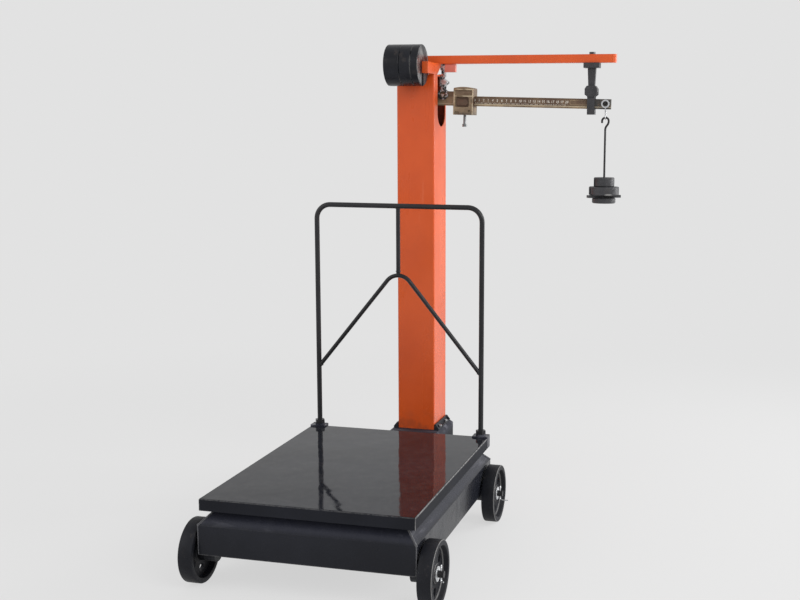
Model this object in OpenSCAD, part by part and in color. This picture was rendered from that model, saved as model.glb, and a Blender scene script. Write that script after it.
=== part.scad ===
// Platform scale on four cast wheels. A loose platform rests on two compound levers inside
// the base frame. They pull a rod in the column, which tips a steelyard beam hung from an arm.
// Millimetres. Drawn with the floor at z = 0, +X along the beam and +Y from the platform to the
// column, then moved so that the origin is the middle of the footprint.

/* [Platform] */
// Width of the platform plate
deck_w = 450; // [430:1:480]
// Length of the platform plate
deck_l = 600; // [580:1:640]
// Height of the platform top above the floor
deck_top_z = 190; // [188:1:196]
// Thickness of the platform plate
deck_t = 5; // [4:0.5:6]
// Height of the folded skirt, plate included
skirt_h = 25; // [20:1:27]
// Thickness of the skirt
skirt_t = 4; // [3:0.5:5]
// Outside radius of the fold
fold_r = 3; // [2:0.5:4]
// Height of the stiffening ribs under the plate
rib_h = 12; // [8:1:14]
// Thickness of the stiffening ribs
rib_t = 8; // [6:1:10]

/* [Base frame] */
// How far the frame stands out past the platform on each side
frame_overhang = 3; // [2:1:4]
// Height of the frame's lower edge above the floor
frame_bottom_z = 74; // [74:1:78]
// Height of the upright wall
frame_side_h = 61; // [58:1:62]
// Rise and run of the sloped shoulder
shoulder = 30; // [26:1:30]
// Wall thickness of the frame
frame_wall = 6; // [5:0.5:8]
// Width of the seat behind the platform that carries the column
seat_w = 132; // [130:1:140]
// Height of the seat
seat_h = 84; // [80:1:86]
// Rise and run of the seat's shoulder
seat_shoulder = 6; // [4:1:6]
// How far the seat reaches behind the column
seat_margin = 8; // [6:1:20]
// Side of the square opening in the seat for the rod
seat_opening = 60; // [50:1:64]

/* [Wheels] */
// Outside diameter of the wheels
wheel_d = 133; // [128:1:134]
// Width of the wheels
wheel_w = 30; // [26:1:32]
// Distance of each axle from the end of the platform
axle_inset = 42; // [38:1:46]
// Gap between the frame and the rims
wheel_gap = 5; // [3:1:10]
// Diameter of the axles
axle_d = 14; // [12:1:14]
// Diameter of the hubs
hub_d = 40; // [36:1:44]
// How far the hubs' outer face lies inside the rims
hub_sink = 8; // [6:0.5:10]
// Thickness of the web between hub and rim
web_t = 5; // [4:0.5:8]
// Thickness of the rim
rim_t = 11; // [8:1:13]
// Number of round holes in the web
web_holes = 6; // [4:1:8]
// Diameter of those holes
web_hole_d = 17; // [12:1:18]
// Diameter of the circle that the holes lie on
web_ring_d = 76; // [70:1:80]
// Length of the axle brackets along the axle
bracket_l = 22; // [18:1:24]
// Diameter of the axle brackets' rounded foot
bracket_w = 40; // [34:1:44]
// Height of the axle brackets above the axle
bracket_rise = 45; // [30:1:50]
// Diameter of the wheel washers
washer_d = 30; // [26:1:34]
// Thickness of the wheel washers
washer_t = 2.5; // [2:0.5:3]
// How far the axle reaches past the washer
axle_tail = 12; // [10:1:16]
// Wire diameter of the cotter pins
cotter_d = 3; // [2.5:0.5:4]

/* [Column] */
// Width of the column
column_w = 96; // [92:1:100]
// Depth of the column
column_d = 110; // [100:1:116]
// Height of the column without its cap
column_h = 887; // [800:1:960]
// Wall thickness of the column
column_wall = 3; // [2:0.5:4]
// Outside corner radius of the column
column_r = 4; // [3:0.5:6]
// Clear space between the platform and the column
column_gap = 143; // [130:1:160]
// Width of the slot that the beam leaves through
slot_w = 70; // [56:1:74]
// Height of that slot
slot_h = 122; // [100:1:160]
// How far that slot sits behind the beam's centre plane
slot_offset = 4; // [-4:1:5]
// Thickness of the column's top plate
cap_t = 4; // [3:0.5:6]
// Width and height of the angle irons at the column's foot
angle_leg = 12; // [11:0.5:12]
// Thickness of those angle irons
angle_t = 4; // [3:0.5:4]
// Diameter of the bolts through them
foot_bolt_d = 6; // [5:1:6]

/* [Arm] */
// Side of the arm's square tube
arm_size = 20; // [18:1:24]
// Wall thickness of the arm
arm_wall = 2.5; // [2:0.5:3]
// Distance of the arm's tip from the column's centre
arm_end_x = 484; // [476:1:520]
// Height of the blocks between the column and the arm
arm_rise = 27; // [25:1:34]
// Width of those blocks
block_w = 14; // [12:1:16]
// How far the rack bar reaches in front of the beam
rack_reach = 124; // [116:1:140]
// Distance of the beam's centre plane behind the column's centre
beam_set_back = 6; // [0:1:8]

/* [Steelyard beam] */
// Distance of the fulcrum edge below the arm
hanger_drop = 82; // [80:1:90]
// Distance from the pull rod's knife to the fulcrum
short_arm = 55; // [55:1:58]
// Distance from the fulcrum to the counterpoise knife
long_arm = 405; // [400:1:412]
// Height of the graduated bar
bar_h = 24; // [20:1:26]
// Thickness of the beam
beam_t = 10; // [8:1:12]
// Height of the beam's root above its knife edges
root_rise = 16; // [12:1:18]
// Height of the knife edges above the bar's centre line
knife_rise = 7; // [5:0.5:9]
// Length of the beam past the counterpoise knife
tip_length = 13; // [11:1:16]
// Droop of the unloaded beam in degrees
beam_droop = 1.27; // [1:0.01:1.6]
// Depth of the recessed graduated band
band_depth = 1; // [0.5:0.1:1.5]
// Width of the border along the bar's top
band_top = 2; // [1.5:0.5:3]
// Width of the border along the bar's bottom
band_bottom = 6; // [4:0.5:7]
// Depth of the levers' and the fulcrum's knife blades
knife_h = 9; // [8:0.5:10]
// Depth of the knife blades at the beam's ends
end_knife_h = 6.5; // [5.5:0.5:7]

/* [Poise] */
// Width of the poise along the beam
poise_w = 50; // [46:1:58]
// Height of the poise's box
poise_h = 64; // [58:1:70]
// Depth of the poise across the beam
poise_d = 40; // [34:1:46]
// Height of the dome on the poise
poise_dome = 4; // [2:0.5:6]
// Distance from the fulcrum to the poise at zero
poise_start = 30.5; // [30:0.5:36]
// Diameter of the poise's lock screw
screw_d = 7; // [5:0.5:8]
// Length of the lock screw below the poise
screw_drop = 29; // [24:1:32]
// Diameter of the lock screw's head
screw_head_d = 11.5; // [9:0.5:13]

/* [Balance ball] */
// Diameter of the balance ball
ball_d = 22; // [18:1:24]
// Width of the balance ball
ball_w = 12; // [10:1:12]
// Diameter of the stud it turns on
stud_d = 7; // [6:0.5:8]
// Length of the stud
stud_l = 27; // [26:1:28]

/* [Stop bracket] */
// Distance of the stop bracket from the column's centre
stop_x = 425; // [420:1:430]
// Width of the bracket's flange
flange_w = 38; // [34:1:44]
// Thickness of the bracket's flange
flange_t = 12; // [8:1:14]
// Width of the fork
fork_w = 18; // [14:1:20]
// Thickness of each fork leg
fork_leg_t = 6; // [5:0.5:7]
// Height of the piece that closes the fork
fork_cross_h = 13; // [10:1:16]
// Width of the eight-sided boss
boss_w = 30; // [26:1:34]
// Height of the eight-sided boss
boss_h = 26; // [22:1:28]
// Depth of the eight-sided boss
boss_d = 30; // [27:1:34]

/* [Counterpoise] */
// Distance from the tip knife to the ring that the hook hangs in
link_l = 38; // [34:1:44]
// Wire diameter of the tip link
link_wire = 2.8; // [2.4:0.1:3]
// Diameter of the hook's rod
rod_wire = 5; // [4:0.5:5]
// Length of the hanging rod, hook included
hanger_l = 208; // [190:1:230]
// Diameter of the disc at the bottom
hanger_disc_d = 57; // [48:1:60]
// Height of the disc at the bottom
hanger_disc_h = 13; // [11:1:16]
// Length of the wing bar on that disc
wing_l = 84; // [80:1:90]
// Diameter of the lower slotted weight
low_weight_d = 73; // [66:1:76]
// Height of the lower slotted weight
low_weight_h = 20; // [16:1:24]
// Diameter of the upper slotted weight
top_weight_d = 50; // [46:1:54]
// Height of the upper slotted weight
top_weight_h = 22; // [18:1:26]
// Direction that the weights' slots face, in degrees
slot_turn = 210; // [180:1:240]

/* [Stored weights] */
// Diameter of the stored slotted weights
stored_d = 98; // [90:1:104]
// Thicknesses of the three stored weights, from the bar outwards
stored_t = [18, 28, 38]; // [10:1:40]
// Diameter of the peg they hang on
peg_d = 10; // [8:1:12]
// Diameter of the collar at the peg's end
peg_collar_d = 16; // [14:1:20]
// Height of the peg above the column's top plate
peg_rise = 19; // [16:1:20]

/* [Guard rail] */
// Distance of the posts from the middle
guard_x = 205; // [204:1:206]
// Diameter of the guard's bar
guard_d = 12; // [10:1:14]
// Height of the top bar's centre above the platform
guard_h = 546.5; // [480:1:600]
// Bend radius of the top corners
guard_bend_r = 34; // [26:1:40]
// Diameter of the brace and the centre bar
brace_d = 10; // [8:1:11]
// Height where the brace joins the posts, above the platform
brace_join_h = 149; // [120:1:180]
// Slope of the brace's legs in degrees
brace_slope = 51; // [48:0.5:53]
// Bend radius at the brace's peak
brace_bend_r = 36; // [28:1:44]
// Width of the sockets that hold the posts
socket_w = 38; // [36:1:40]
// How far a socket reaches behind the platform
socket_back = 12; // [11:1:16]
// Height of a socket's top above the platform
socket_rise = 3.5; // [2:0.5:5]
// Width across the flats of the post nuts
post_nut_af = 21; // [18:1:22]

/* [Levers] */
// Load on the platform that balances one unit on the counterpoise
scale_ratio = 100; // [96:1:104]
// Distance of the lever fulcrums in from the frame's ends
lever_end_inset = 73; // [70:1:77]
// Distance of the lever fulcrums in from the frame's sides
lever_inset = 53; // [52:1:58]
// Thickness of the lever arms
lever_t = 10; // [8:1:12]
// Length of the levers past their end knives
lever_tail = 14; // [12:1:16]
// Width of the long lever's spine where the arms join it
spine_w = 18; // [14:1:20]
// Distance of the long lever's cross rib in front of the middle
cross_rib_y = 61; // [40:1:80]
// Distance from the middle to where the short lever's arms meet
nose_l = 36; // [30:1:44]
// Height of the long lever's knife edges above the floor
long_knife_z = 133; // [132:1:134]
// Height of the short lever's knife edges above the floor
short_knife_z = 105; // [104:1:106]
// Deepest section of the levers
lever_depth = 26; // [22:1:26]
// Depth of the levers at their noses
nose_depth = 20; // [18:1:22]
// Depth of the levers at their heels
heel_depth = 16; // [14:1:18]
// Diameter of the pull rod
pull_rod_d = 8; // [6:1:10]

/* [Clearances] */
// Gap between pieces that seat on each other
seat_gap = 0.3; // [0.2:0.05:0.4]
// Radial gap of a shaft that turns in a hole
run_gap = 0.08; // [0.05:0.01:0.1]
// Gap on each side of a moving arm or plate
side_gap = 1.5; // [1:0.25:2]
// Radial gap of a bolt or rod in its hole
bolt_gap = 0.2; // [0.1:0.05:0.3]

/* [Hidden] */
$fn = 64;

black_paint = [0.12, 0.13, 0.17];
orange_paint = [0.80, 0.33, 0.16];
brass = [0.55, 0.45, 0.30];
zinc = [0.72, 0.73, 0.75];
dark_iron = [0.20, 0.20, 0.21];
knife_steel = [0.60, 0.61, 0.63];

cut = 1;                       // how far a cutting shape runs past a face
half_blade = tan(30);          // half the width of a knife blade per unit of its depth

// Platform and frame
skirt_bottom_z = deck_top_z - skirt_h;
rib_bottom_z = deck_top_z - deck_t - rib_h;
frame_w = deck_w + 2 * frame_overhang;
frame_l = deck_l + 2 * frame_overhang;
seat_top_z = frame_bottom_z + seat_h;

// Column and arm
column_front_y = deck_l / 2 + column_gap;
column_mid_y = column_front_y + column_d / 2;
beam_y = column_mid_y + beam_set_back;
seat_back_y = column_front_y + column_d + seat_margin;
seat_front_y = frame_l / 2 - (seat_h - frame_side_h);
column_top_z = seat_top_z + column_h;
cap_top_z = column_top_z + cap_t;
arm_z = cap_top_z + arm_rise;
arm_top_z = arm_z + arm_size;

// Wheels
axle_y = deck_l / 2 - axle_inset;
axle_z = wheel_d / 2;
wheel_in_x = frame_w / 2 + wheel_gap;
wheel_out_x = wheel_in_x + wheel_w;
washer_out_x = wheel_out_x - hub_sink + seat_gap + washer_t;
axle_end_x = washer_out_x + axle_tail;
cotter_x = washer_out_x + axle_tail / 2;

// Beam: positions along it are measured from the fulcrum edge
fulcrum_x = short_arm;
beam_z = arm_z - hanger_drop;
bar_bottom = -knife_rise - bar_h / 2;
bar_top = bar_bottom + bar_h;
tip_x = fulcrum_x + long_arm * cos(beam_droop);
tip_z = beam_z - long_arm * sin(beam_droop);
load_x = fulcrum_x - short_arm * cos(beam_droop);
load_z = beam_z + short_arm * sin(beam_droop);
root_end = poise_start - 2 * seat_gap;
root_r = 15;

// Levers: the load arm follows from the ratios of the long lever and the beam
lever_x = frame_w / 2 - lever_inset;
lever_y = frame_l / 2 - lever_end_inset;
lever_reach = lever_y + beam_y;
load_arm = lever_reach * long_arm / short_arm / scale_ratio;
load_y = lever_y - load_arm;
spine_y = lever_y + lever_t;
long_slope = (lever_x - spine_w / 4) / (lever_y + lever_tail + spine_y);
short_slope = (lever_x - lever_t / 4) / (lever_y + lever_tail - nose_l);
foot_w = 14;
foot_half = 9;
bearing_w = 12;
bearing_half = 12;
bearing_x = lever_x + lever_t / 2 + side_gap + bearing_w / 2;
bearing_h = 14;
link_t = 4;
link_hole_r = 7;
link_eye_r = 10;
link_x = lever_t / 2 + side_gap + link_t / 2;

// Counterpoise and stored weights
eye_hole_r = 6.5;
eye_r = 10;
eye_t = 3.4;
eye_gap = beam_t + 2 * side_gap;
ring_r = 5;
ring_z = tip_z - link_l;
hook_r = 8;
neck_r = 16;
hook_z = ring_z - ring_r + link_wire / 2 + seat_gap + rod_wire / 2 - hook_r;
hanger_bottom_z = hook_z + hook_r + rod_wire / 2 - hanger_l;
wing_t = 6.5;
wing_w = 14;
wing_turn = 30;
wing_reach = wing_l / 2 * cos(wing_turn) + wing_w / 2 * sin(wing_turn);
low_weight_z = hanger_bottom_z + hanger_disc_h + wing_t + seat_gap;
top_weight_z = low_weight_z + low_weight_h + seat_gap;
peg_z = cap_top_z + peg_rise;
rack_front_y = beam_y - rack_reach;
peg_y = rack_front_y + peg_d / 2 + 2;
rack_x = column_w / 2 + 2;
stored_slot_r = peg_d / 2 + 1;
stored_z = peg_z + peg_d / 2 + seat_gap - stored_slot_r;

// Stop bracket: the fork's window leaves the beam its droop on each side of level
fork_reach = stop_x + fork_w / 2 - fulcrum_x;
stop_low_z = beam_z - fork_reach * tan(beam_droop) + bar_bottom / cos(beam_droop) - seat_gap;
stop_high_z = beam_z + fork_reach * tan(beam_droop) + bar_top / cos(beam_droop) + seat_gap;
boss_z = stop_high_z + boss_h / 2 - 12;

// Guard
guard_y = deck_l / 2;
guard_z = deck_top_z + guard_h;
brace_join_z = deck_top_z + brace_join_h;
brace_center_z = brace_join_z + guard_x * tan(brace_slope) - brace_bend_r / cos(brace_slope);
socket_in_x = deck_w / 2 - socket_w;
notch_l = 16;
ear_w = 26;
ear_t = 6;

origin_x = (max(arm_end_x, tip_x + wing_reach) - axle_end_x) / 2;
origin_y = (seat_back_y - axle_y - wheel_d / 2) / 2;

// Shared shapes

module at_origin() translate([-origin_x, -origin_y, 0]) children();

// Extrudes an outline in (x, z) along Y, half to each side
module along_y(l) rotate([90, 0, 0]) linear_extrude(l, center = true) children();

// Extrudes an outline in (y, z) along X, half to each side
module along_x(l) rotate([90, 0, 90]) linear_extrude(l, center = true) children();

module rod_x(d, l) rotate([0, 90, 0]) cylinder(d = d, h = l, center = true);

module rod_y(d, l) rotate([90, 0, 0]) cylinder(d = d, h = l, center = true);

module both_sides() for (side = [0, 1]) mirror([side, 0, 0]) children();

module both_ends() for (side = [0, 1]) mirror([0, side, 0]) children();

module rod_between(a, b, d) {
    v = b - a;
    translate(a) rotate([0, acos(v[2] / norm(v)), atan2(v[1], v[0])]) cylinder(d = d, h = norm(v));
}

// Round bar in the (x, y) plane that starts along +Y; each step is a length and no angle, or a
// bend radius and its angle, to the left if it is above 0. A thin sleeve joins one step to the next.
module rod_path(d, steps, i = 0) if (i < len(steps)) {
    size = steps[i][0];
    turn = steps[i][1];
    if (i > 0) rotate([90, 0, 0]) cylinder(d = d + 0.12, h = 1, center = true);
    if (turn == 0) {
        rotate([-90, 0, 0]) cylinder(d = d, h = size);
        translate([0, size, 0]) rod_path(d, steps, i + 1);
    } else {
        r = turn > 0 ? size : -size;
        translate([-r, 0, 0]) {
            mirror([turn > 0 ? 0 : 1, 0, 0]) rotate_extrude(angle = abs(turn))
                translate([size, 0]) circle(d = d);
            rotate(turn) translate([r, 0, 0]) rod_path(d, steps, i + 1);
        }
    }
}

module centred_rect(w, h) translate([-w / 2, 0]) square([w, h]);

// Outline with its two upper corners rounded
module arched_rect(w, h, r) {
    centred_rect(w, h - r);
    centred_rect(w - 2 * r, h);
    for (s = [-1, 1]) translate([s * (w / 2 - r), h - r]) circle(r);
}

module rounded_rect(w, h, r) {
    square([w - 2 * r, h], center = true);
    square([w, h - 2 * r], center = true);
    for (sx = [-1, 1], sy = [-1, 1]) translate([sx * (w / 2 - r), sy * (h / 2 - r)]) circle(r);
}

// Outline of a wall with a 45-degree shoulder
module shouldered(w, side_h, slope) polygon([[-w / 2, 0], [w / 2, 0], [w / 2, side_h],
    [w / 2 - slope, side_h + slope], [slope - w / 2, side_h + slope], [-w / 2, side_h]]);

// Box whose four sides all have that outline
module shouldered_box(w, l, side_h, slope) intersection() {
    along_y(l) shouldered(w, side_h, slope);
    along_x(w) shouldered(l, side_h, slope);
}

// Knife blade across (x, z) with its edge at the origin
module blade(up, h) {
    s = up ? -1 : 1;
    polygon([[0, 0], [h * half_blade, s * h], [-h * half_blade, s * h]]);
}

module hex_head(af, h) cylinder(d = af / cos(30), h = h, $fn = 6);

// Two eyes round the Y axis and the bridge that joins them, reach above the axis
module shackle(gap, eye_t, hole_r, eye_r, leg_w, reach, bridge_t) {
    for (s = [-1, 1]) translate([0, s * (gap + eye_t) / 2, 0]) along_y(eye_t) difference() {
        union() {
            circle(eye_r);
            centred_rect(leg_w, reach);
        }
        circle(hole_r);
    }
    translate([-leg_w / 2, -gap / 2 - eye_t, reach - bridge_t])
        cube([leg_w, gap + 2 * eye_t, bridge_t]);
}

// Disc with bevelled rims, standing on z = 0
module bevelled_disc(d, h, bevel) rotate_extrude() polygon([[0, 0], [d / 2 - bevel, 0],
    [d / 2, bevel], [d / 2, h - bevel], [d / 2 - bevel, h], [0, h]]);

module slotted_disc(d, h, slot_r) difference() {
    bevelled_disc(d, h, 1.5);
    translate([0, 0, -cut]) cylinder(r = slot_r, h = h + 2 * cut);
    translate([0, -slot_r, -cut]) cube([d, 2 * slot_r, h + 2 * cut]);
}

// Base frame

module frame_cavity() {
    w = frame_w - 2 * frame_wall;
    l = frame_l - 2 * frame_wall;
    side = frame_side_h - frame_wall * tan(22.5) + cut;
    slope = frame_side_h + shoulder - side + 2 * cut;
    translate([0, 0, frame_bottom_z - cut]) shouldered_box(w, l, side, slope);
}

module seat_body() {
    l = seat_back_y - seat_front_y + seat_shoulder;
    translate([0, seat_back_y - l / 2, frame_bottom_z])
        shouldered_box(seat_w, l, seat_h - seat_shoulder, seat_shoulder);
}

// Opens through the frame's rear wall and shoulder, for the long lever
module seat_cavity() {
    front = frame_l / 2 - (seat_h - frame_wall - frame_side_h) - 1.5 * frame_wall;
    l = seat_back_y - frame_wall - front;
    translate([0, front + l / 2, frame_bottom_z - cut])
        linear_extrude(seat_h - frame_wall + cut) square([seat_w - 2 * frame_wall, l], center = true);
}

// Wedge-shaped bracket cast on the side wall under a lever bearing
module bearing_bracket(y, knife_z) {
    top = knife_z - bearing_h;
    inner = bearing_x - bearing_w / 2 - 2;
    wall_x = frame_w / 2 - frame_wall;
    low = max(top - 34, frame_bottom_z);
    both_sides() translate([0, y, 0]) along_y(2 * bearing_half)
        polygon([[inner, top], [wall_x, top], [wall_x, low], [inner, max(top - 8, low)]]);
}

module foot_bolt_places() both_sides() for (s = [-1, 1])
    translate([(column_w + angle_t + angle_leg) / 2, column_mid_y + s * column_d / 4, seat_top_z])
        rotate([0, 0, 30]) children();

module base_frame() color(black_paint) at_origin() {
    difference() {
        union() {
            translate([0, 0, frame_bottom_z]) shouldered_box(frame_w, frame_l, frame_side_h, shoulder);
            seat_body();
        }
        frame_cavity();
        seat_cavity();
        translate([0, beam_y, seat_top_z])
            cube([seat_opening, seat_opening, 4 * frame_wall], center = true);
        foot_bolt_places() cylinder(d = foot_bolt_d + 2 * bolt_gap, h = 4 * frame_wall, center = true);
    }
    bearing_bracket(-lever_y, long_knife_z);
    bearing_bracket(lever_y, short_knife_z);
}

// Bearing block with a V groove that a knife edge rests in
module bearing_block(y, knife_z) both_sides() translate([bearing_x, y, knife_z]) along_x(bearing_w)
    polygon([[-bearing_half, -bearing_h], [bearing_half, -bearing_h], [bearing_half, bearing_h / 2],
        [bearing_h / 2, bearing_h / 2], [0, -seat_gap], [-bearing_h / 2, bearing_h / 2],
        [-bearing_half, bearing_h / 2]]);

module fulcrum_bearings() color(dark_iron) at_origin() {
    bearing_block(-lever_y, long_knife_z);
    bearing_block(lever_y, short_knife_z);
}

// Wheels and axles

module axle(y) translate([0, y, axle_z]) difference() {
    rod_x(axle_d, 2 * axle_end_x);
    for (s = [-1, 1]) translate([s * cotter_x, 0, 0])
        cylinder(d = cotter_d + 2 * bolt_gap, h = 2 * axle_d, center = true);
}

module front_axle() color(zinc) at_origin() axle(-axle_y);

module rear_axle() color(zinc) at_origin() axle(axle_y);

// Bracket that carries an axle: under the frame's wall, and up inside it
module axle_bracket() difference() {
    w = bracket_w / 2;
    neck = 0.7 * w;
    foot_h = frame_bottom_z - seat_gap - axle_z;
    translate([frame_w / 2 - bracket_l / 2, axle_y, axle_z]) along_x(bracket_l) difference() {
        union() {
            intersection() {
                circle(w);
                translate([-w, -w]) square([2 * w, w + foot_h]);
            }
            polygon([[-w, 0], [w, 0], [neck, foot_h], [neck, bracket_rise], [-neck, bracket_rise],
                [-neck, foot_h]]);
        }
        circle(d = axle_d + 2 * bolt_gap);
    }
    translate([frame_w / 2 - frame_wall - seat_gap, axle_y - w, frame_bottom_z - seat_gap])
        cube([2 * frame_wall, 2 * w, 2 * bracket_rise]);
}

module axle_brackets() color(black_paint) at_origin() both_sides() both_ends() axle_bracket();

// Wheel turned about the X axis, with holes through its web; its hub reaches in to the bracket
module wheel() {
    r = wheel_d / 2;
    rim_r = r - rim_t;
    hub_r = hub_d / 2;
    h = wheel_w / 2;
    w = web_t / 2;
    hub_in = seat_gap - wheel_gap - h;
    rotate([0, 90, 0]) difference() {
        rotate_extrude() polygon([[axle_d / 2 + run_gap, hub_in], [hub_r - 2, hub_in], [hub_r, hub_in + 2],
            [hub_r + 2, -w], [rim_r - 3, -w], [rim_r, -h], [r - 2, -h], [r, 2 - h], [r, h - 2], [r - 2, h],
            [rim_r, h], [rim_r - 3, w], [hub_r + 2, w], [hub_r, h - hub_sink],
            [axle_d / 2 + run_gap, h - hub_sink]]);
        for (i = [0 : web_holes - 1]) rotate(360 * i / web_holes)
            translate([web_ring_d / 2, 0, 0]) cylinder(d = web_hole_d, h = wheel_w, center = true);
    }
}

module placed_wheel(side, end) color(black_paint) at_origin()
    translate([side * (wheel_in_x + wheel_w / 2), end * axle_y, axle_z])
        rotate([0, 0, side > 0 ? 0 : 180]) wheel();

module wheel_front_left() placed_wheel(-1, -1);

module wheel_front_right() placed_wheel(1, -1);

module wheel_rear_left() placed_wheel(-1, 1);

module wheel_rear_right() placed_wheel(1, 1);

module wheel_washers() color(zinc) at_origin() both_sides() both_ends()
    translate([washer_out_x - washer_t / 2, axle_y, axle_z]) difference() {
        rod_x(washer_d, washer_t);
        rod_x(axle_d + 2 * bolt_gap, 2 * washer_t);
    }

// Cotter pin: an eye above the axle and two tails bent apart below it
module cotter_pin() {
    top = axle_d / 2 + cotter_d / 3;
    low = [0, 0, -axle_d / 2 - cotter_d];
    rod_between(low, [0, 0, top], cotter_d);
    translate([0, 0, top + cotter_d]) rotate([90, 0, 0])
        rotate_extrude() translate([cotter_d, 0]) circle(cotter_d / 3);
    translate(low) sphere(d = 1.1 * cotter_d);
    rod_between(low, low + cotter_d * [1.6, -3, -1.4], 0.7 * cotter_d);
    rod_between(low, low + cotter_d * [1.4, 3, -2], 0.7 * cotter_d);
}

module cotter_pins() color(zinc) at_origin() both_sides() both_ends()
    translate([cotter_x, axle_y, axle_z]) cotter_pin();

// Column

module column() color(orange_paint) at_origin() translate([0, column_mid_y, seat_top_z]) difference() {
    slot_y = beam_y - column_mid_y + slot_offset;
    linear_extrude(column_h) difference() {
        rounded_rect(column_w, column_d, column_r);
        rounded_rect(column_w - 2 * column_wall, column_d - 2 * column_wall, column_r / 4);
    }
    translate([column_w / 2, slot_y, column_h - slot_h]) along_x(4 * column_wall) {
        translate([0, slot_w / 2]) circle(d = slot_w);
        translate([-slot_w / 2, slot_w / 2]) square([slot_w, slot_h]);
    }
}

module column_cap() color(orange_paint) at_origin() translate([0, column_mid_y, column_top_z])
    linear_extrude(cap_t) rounded_rect(column_w, column_d, column_r);

// Angle iron along each side of the column's foot, with a gusset at each end
module column_angles() color(black_paint) at_origin() difference() {
    h = angle_leg + 2;
    both_sides() translate([column_w / 2, column_mid_y, seat_top_z]) {
        along_y(column_d) polygon([[0, 0], [angle_leg, 0], [angle_leg, angle_t], [angle_t, angle_t],
            [angle_t, h], [0, h]]);
        for (s = [-1, 1]) translate([0, s * (column_d - angle_t) / 2, 0]) along_y(angle_t)
            polygon([[0, 0], [angle_leg, 0], [angle_leg, angle_t], [angle_t, h], [0, h]]);
    }
    foot_bolt_places() cylinder(d = foot_bolt_d + 2 * bolt_gap, h = 4 * angle_t, center = true);
}

module column_bolts() color(zinc) at_origin() foot_bolt_places() {
    af = min(1.6 * foot_bolt_d, angle_leg - angle_t - 2 * seat_gap);
    low = -frame_wall - foot_bolt_d;
    translate([0, 0, angle_t]) hex_head(af, foot_bolt_d - 2);
    translate([0, 0, low]) cylinder(d = foot_bolt_d, h = angle_t - low);
    translate([0, 0, low + 1]) hex_head(af, foot_bolt_d - 1 - seat_gap);
}

// Arm and what hangs from it

module arm() color(orange_paint) at_origin() difference() {
    start = -column_w / 2;
    l = arm_end_x - arm_size / 2 - start;
    translate([start, beam_y - arm_size / 2, arm_z]) cube([l, arm_size, arm_size]);
    translate([start - cut, beam_y - arm_size / 2 + arm_wall, arm_z + arm_wall])
        cube([l + 2 * cut, arm_size - 2 * arm_wall, arm_size - 2 * arm_wall]);
    translate([stop_x, beam_y, arm_z - cut]) cylinder(d = 8 + 2 * bolt_gap, h = arm_size + 2 * cut);
}

module arm_end_cap() color(orange_paint) at_origin() intersection() {
    translate([arm_end_x - arm_size / 2, beam_y, arm_z]) cylinder(d = arm_size, h = arm_size);
    translate([arm_end_x - arm_size / 2, beam_y - arm_size, arm_z])
        cube([arm_size, 2 * arm_size, arm_size]);
}

// Short piece of square tube, open to the front and back
module arm_saddle() color(orange_paint) at_origin()
    translate([2 * block_w - column_w / 2, beam_y, cap_top_z]) along_y(2 * block_w) difference() {
        centred_rect(arm_size, arm_rise);
        translate([0, arm_wall]) centred_rect(arm_size - 2 * arm_wall, arm_rise - 2 * arm_wall);
    }

module rack_bar() color(orange_paint) at_origin() difference() {
    translate([rack_x - block_w / 2, 0, cap_top_z]) along_x(block_w) polygon([[rack_front_y, 0],
        [beam_y - 1.5 * arm_rise, 0], [beam_y, arm_rise], [rack_front_y, arm_rise]]);
    translate([peg_root_x + seat_gap - 2 * block_w, peg_y, peg_z])
        rod_x(peg_d + 2 * bolt_gap, 4 * block_w);
}

stored_l = stored_t[0] + stored_t[1] + stored_t[2] + 4 * seat_gap;
peg_end_x = rack_x - block_w - stored_l;
peg_root_x = rack_x - 3;

module weight_peg() color(black_paint) at_origin() translate([0, peg_y, peg_z]) {
    translate([(peg_root_x + peg_end_x) / 2, 0, 0]) rod_x(peg_d, peg_root_x - peg_end_x);
    translate([peg_end_x - 2, 0, 0]) rod_x(peg_collar_d, 4);
}

strap_w = 9;
strap_d = 12;
strap_pin_d = 4;
lug_x = fulcrum_x + strap_w / 2 + seat_gap;
lug_l = 26;
lug_h = 20;
hanger_bolt_d = 6;
hanger_bolt_z = arm_z - lug_h / 2;

module hanger_lug() color(orange_paint) at_origin() difference() {
    translate([lug_x, beam_y - block_w / 2, arm_z - lug_h]) cube([lug_l, block_w, lug_h]);
    translate([lug_x, beam_y, hanger_bolt_z]) rod_x(hanger_bolt_d + 2 * bolt_gap, 1.6 * lug_l);
}

module hanger_bolt() color(zinc) at_origin() translate([fulcrum_x - strap_w / 2, beam_y, hanger_bolt_z]) {
    translate([2 * hanger_bolt_d, 0, 0]) rod_x(hanger_bolt_d, 4 * hanger_bolt_d + 2 * seat_gap);
    translate([-seat_gap, 0, 0]) rotate([0, -90, 0]) hex_head(1.5 * hanger_bolt_d, hanger_bolt_d / 2);
}

// The stirrup's eyes hold the beam's fulcrum knife; its wedge is hooked on the strap's end
stirrup_gap = beam_t + 2 * side_gap;
stirrup_t = 4;
stirrup_hole_r = 8;
stirrup_eye_r = 13;
stirrup_z = beam_z + stirrup_hole_r - seat_gap;
wedge_z = stirrup_z + 20;
wedge_h = 22;

module strap_pin_place() translate([fulcrum_x, beam_y, wedge_z + 12]) children();

module fulcrum_strap() color(dark_iron) at_origin() {
    low = wedge_z + 6;
    h = arm_z - seat_gap - low;
    difference() {
        translate([fulcrum_x - strap_w / 2, beam_y - strap_d / 2, low]) cube([strap_w, strap_d, h]);
        translate([fulcrum_x, beam_y, hanger_bolt_z]) rod_x(hanger_bolt_d + 2 * bolt_gap, 2 * strap_w);
    }
    strap_pin_place() rod_y(strap_pin_d, stirrup_gap + 2 * stirrup_t + 2);
}

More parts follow.
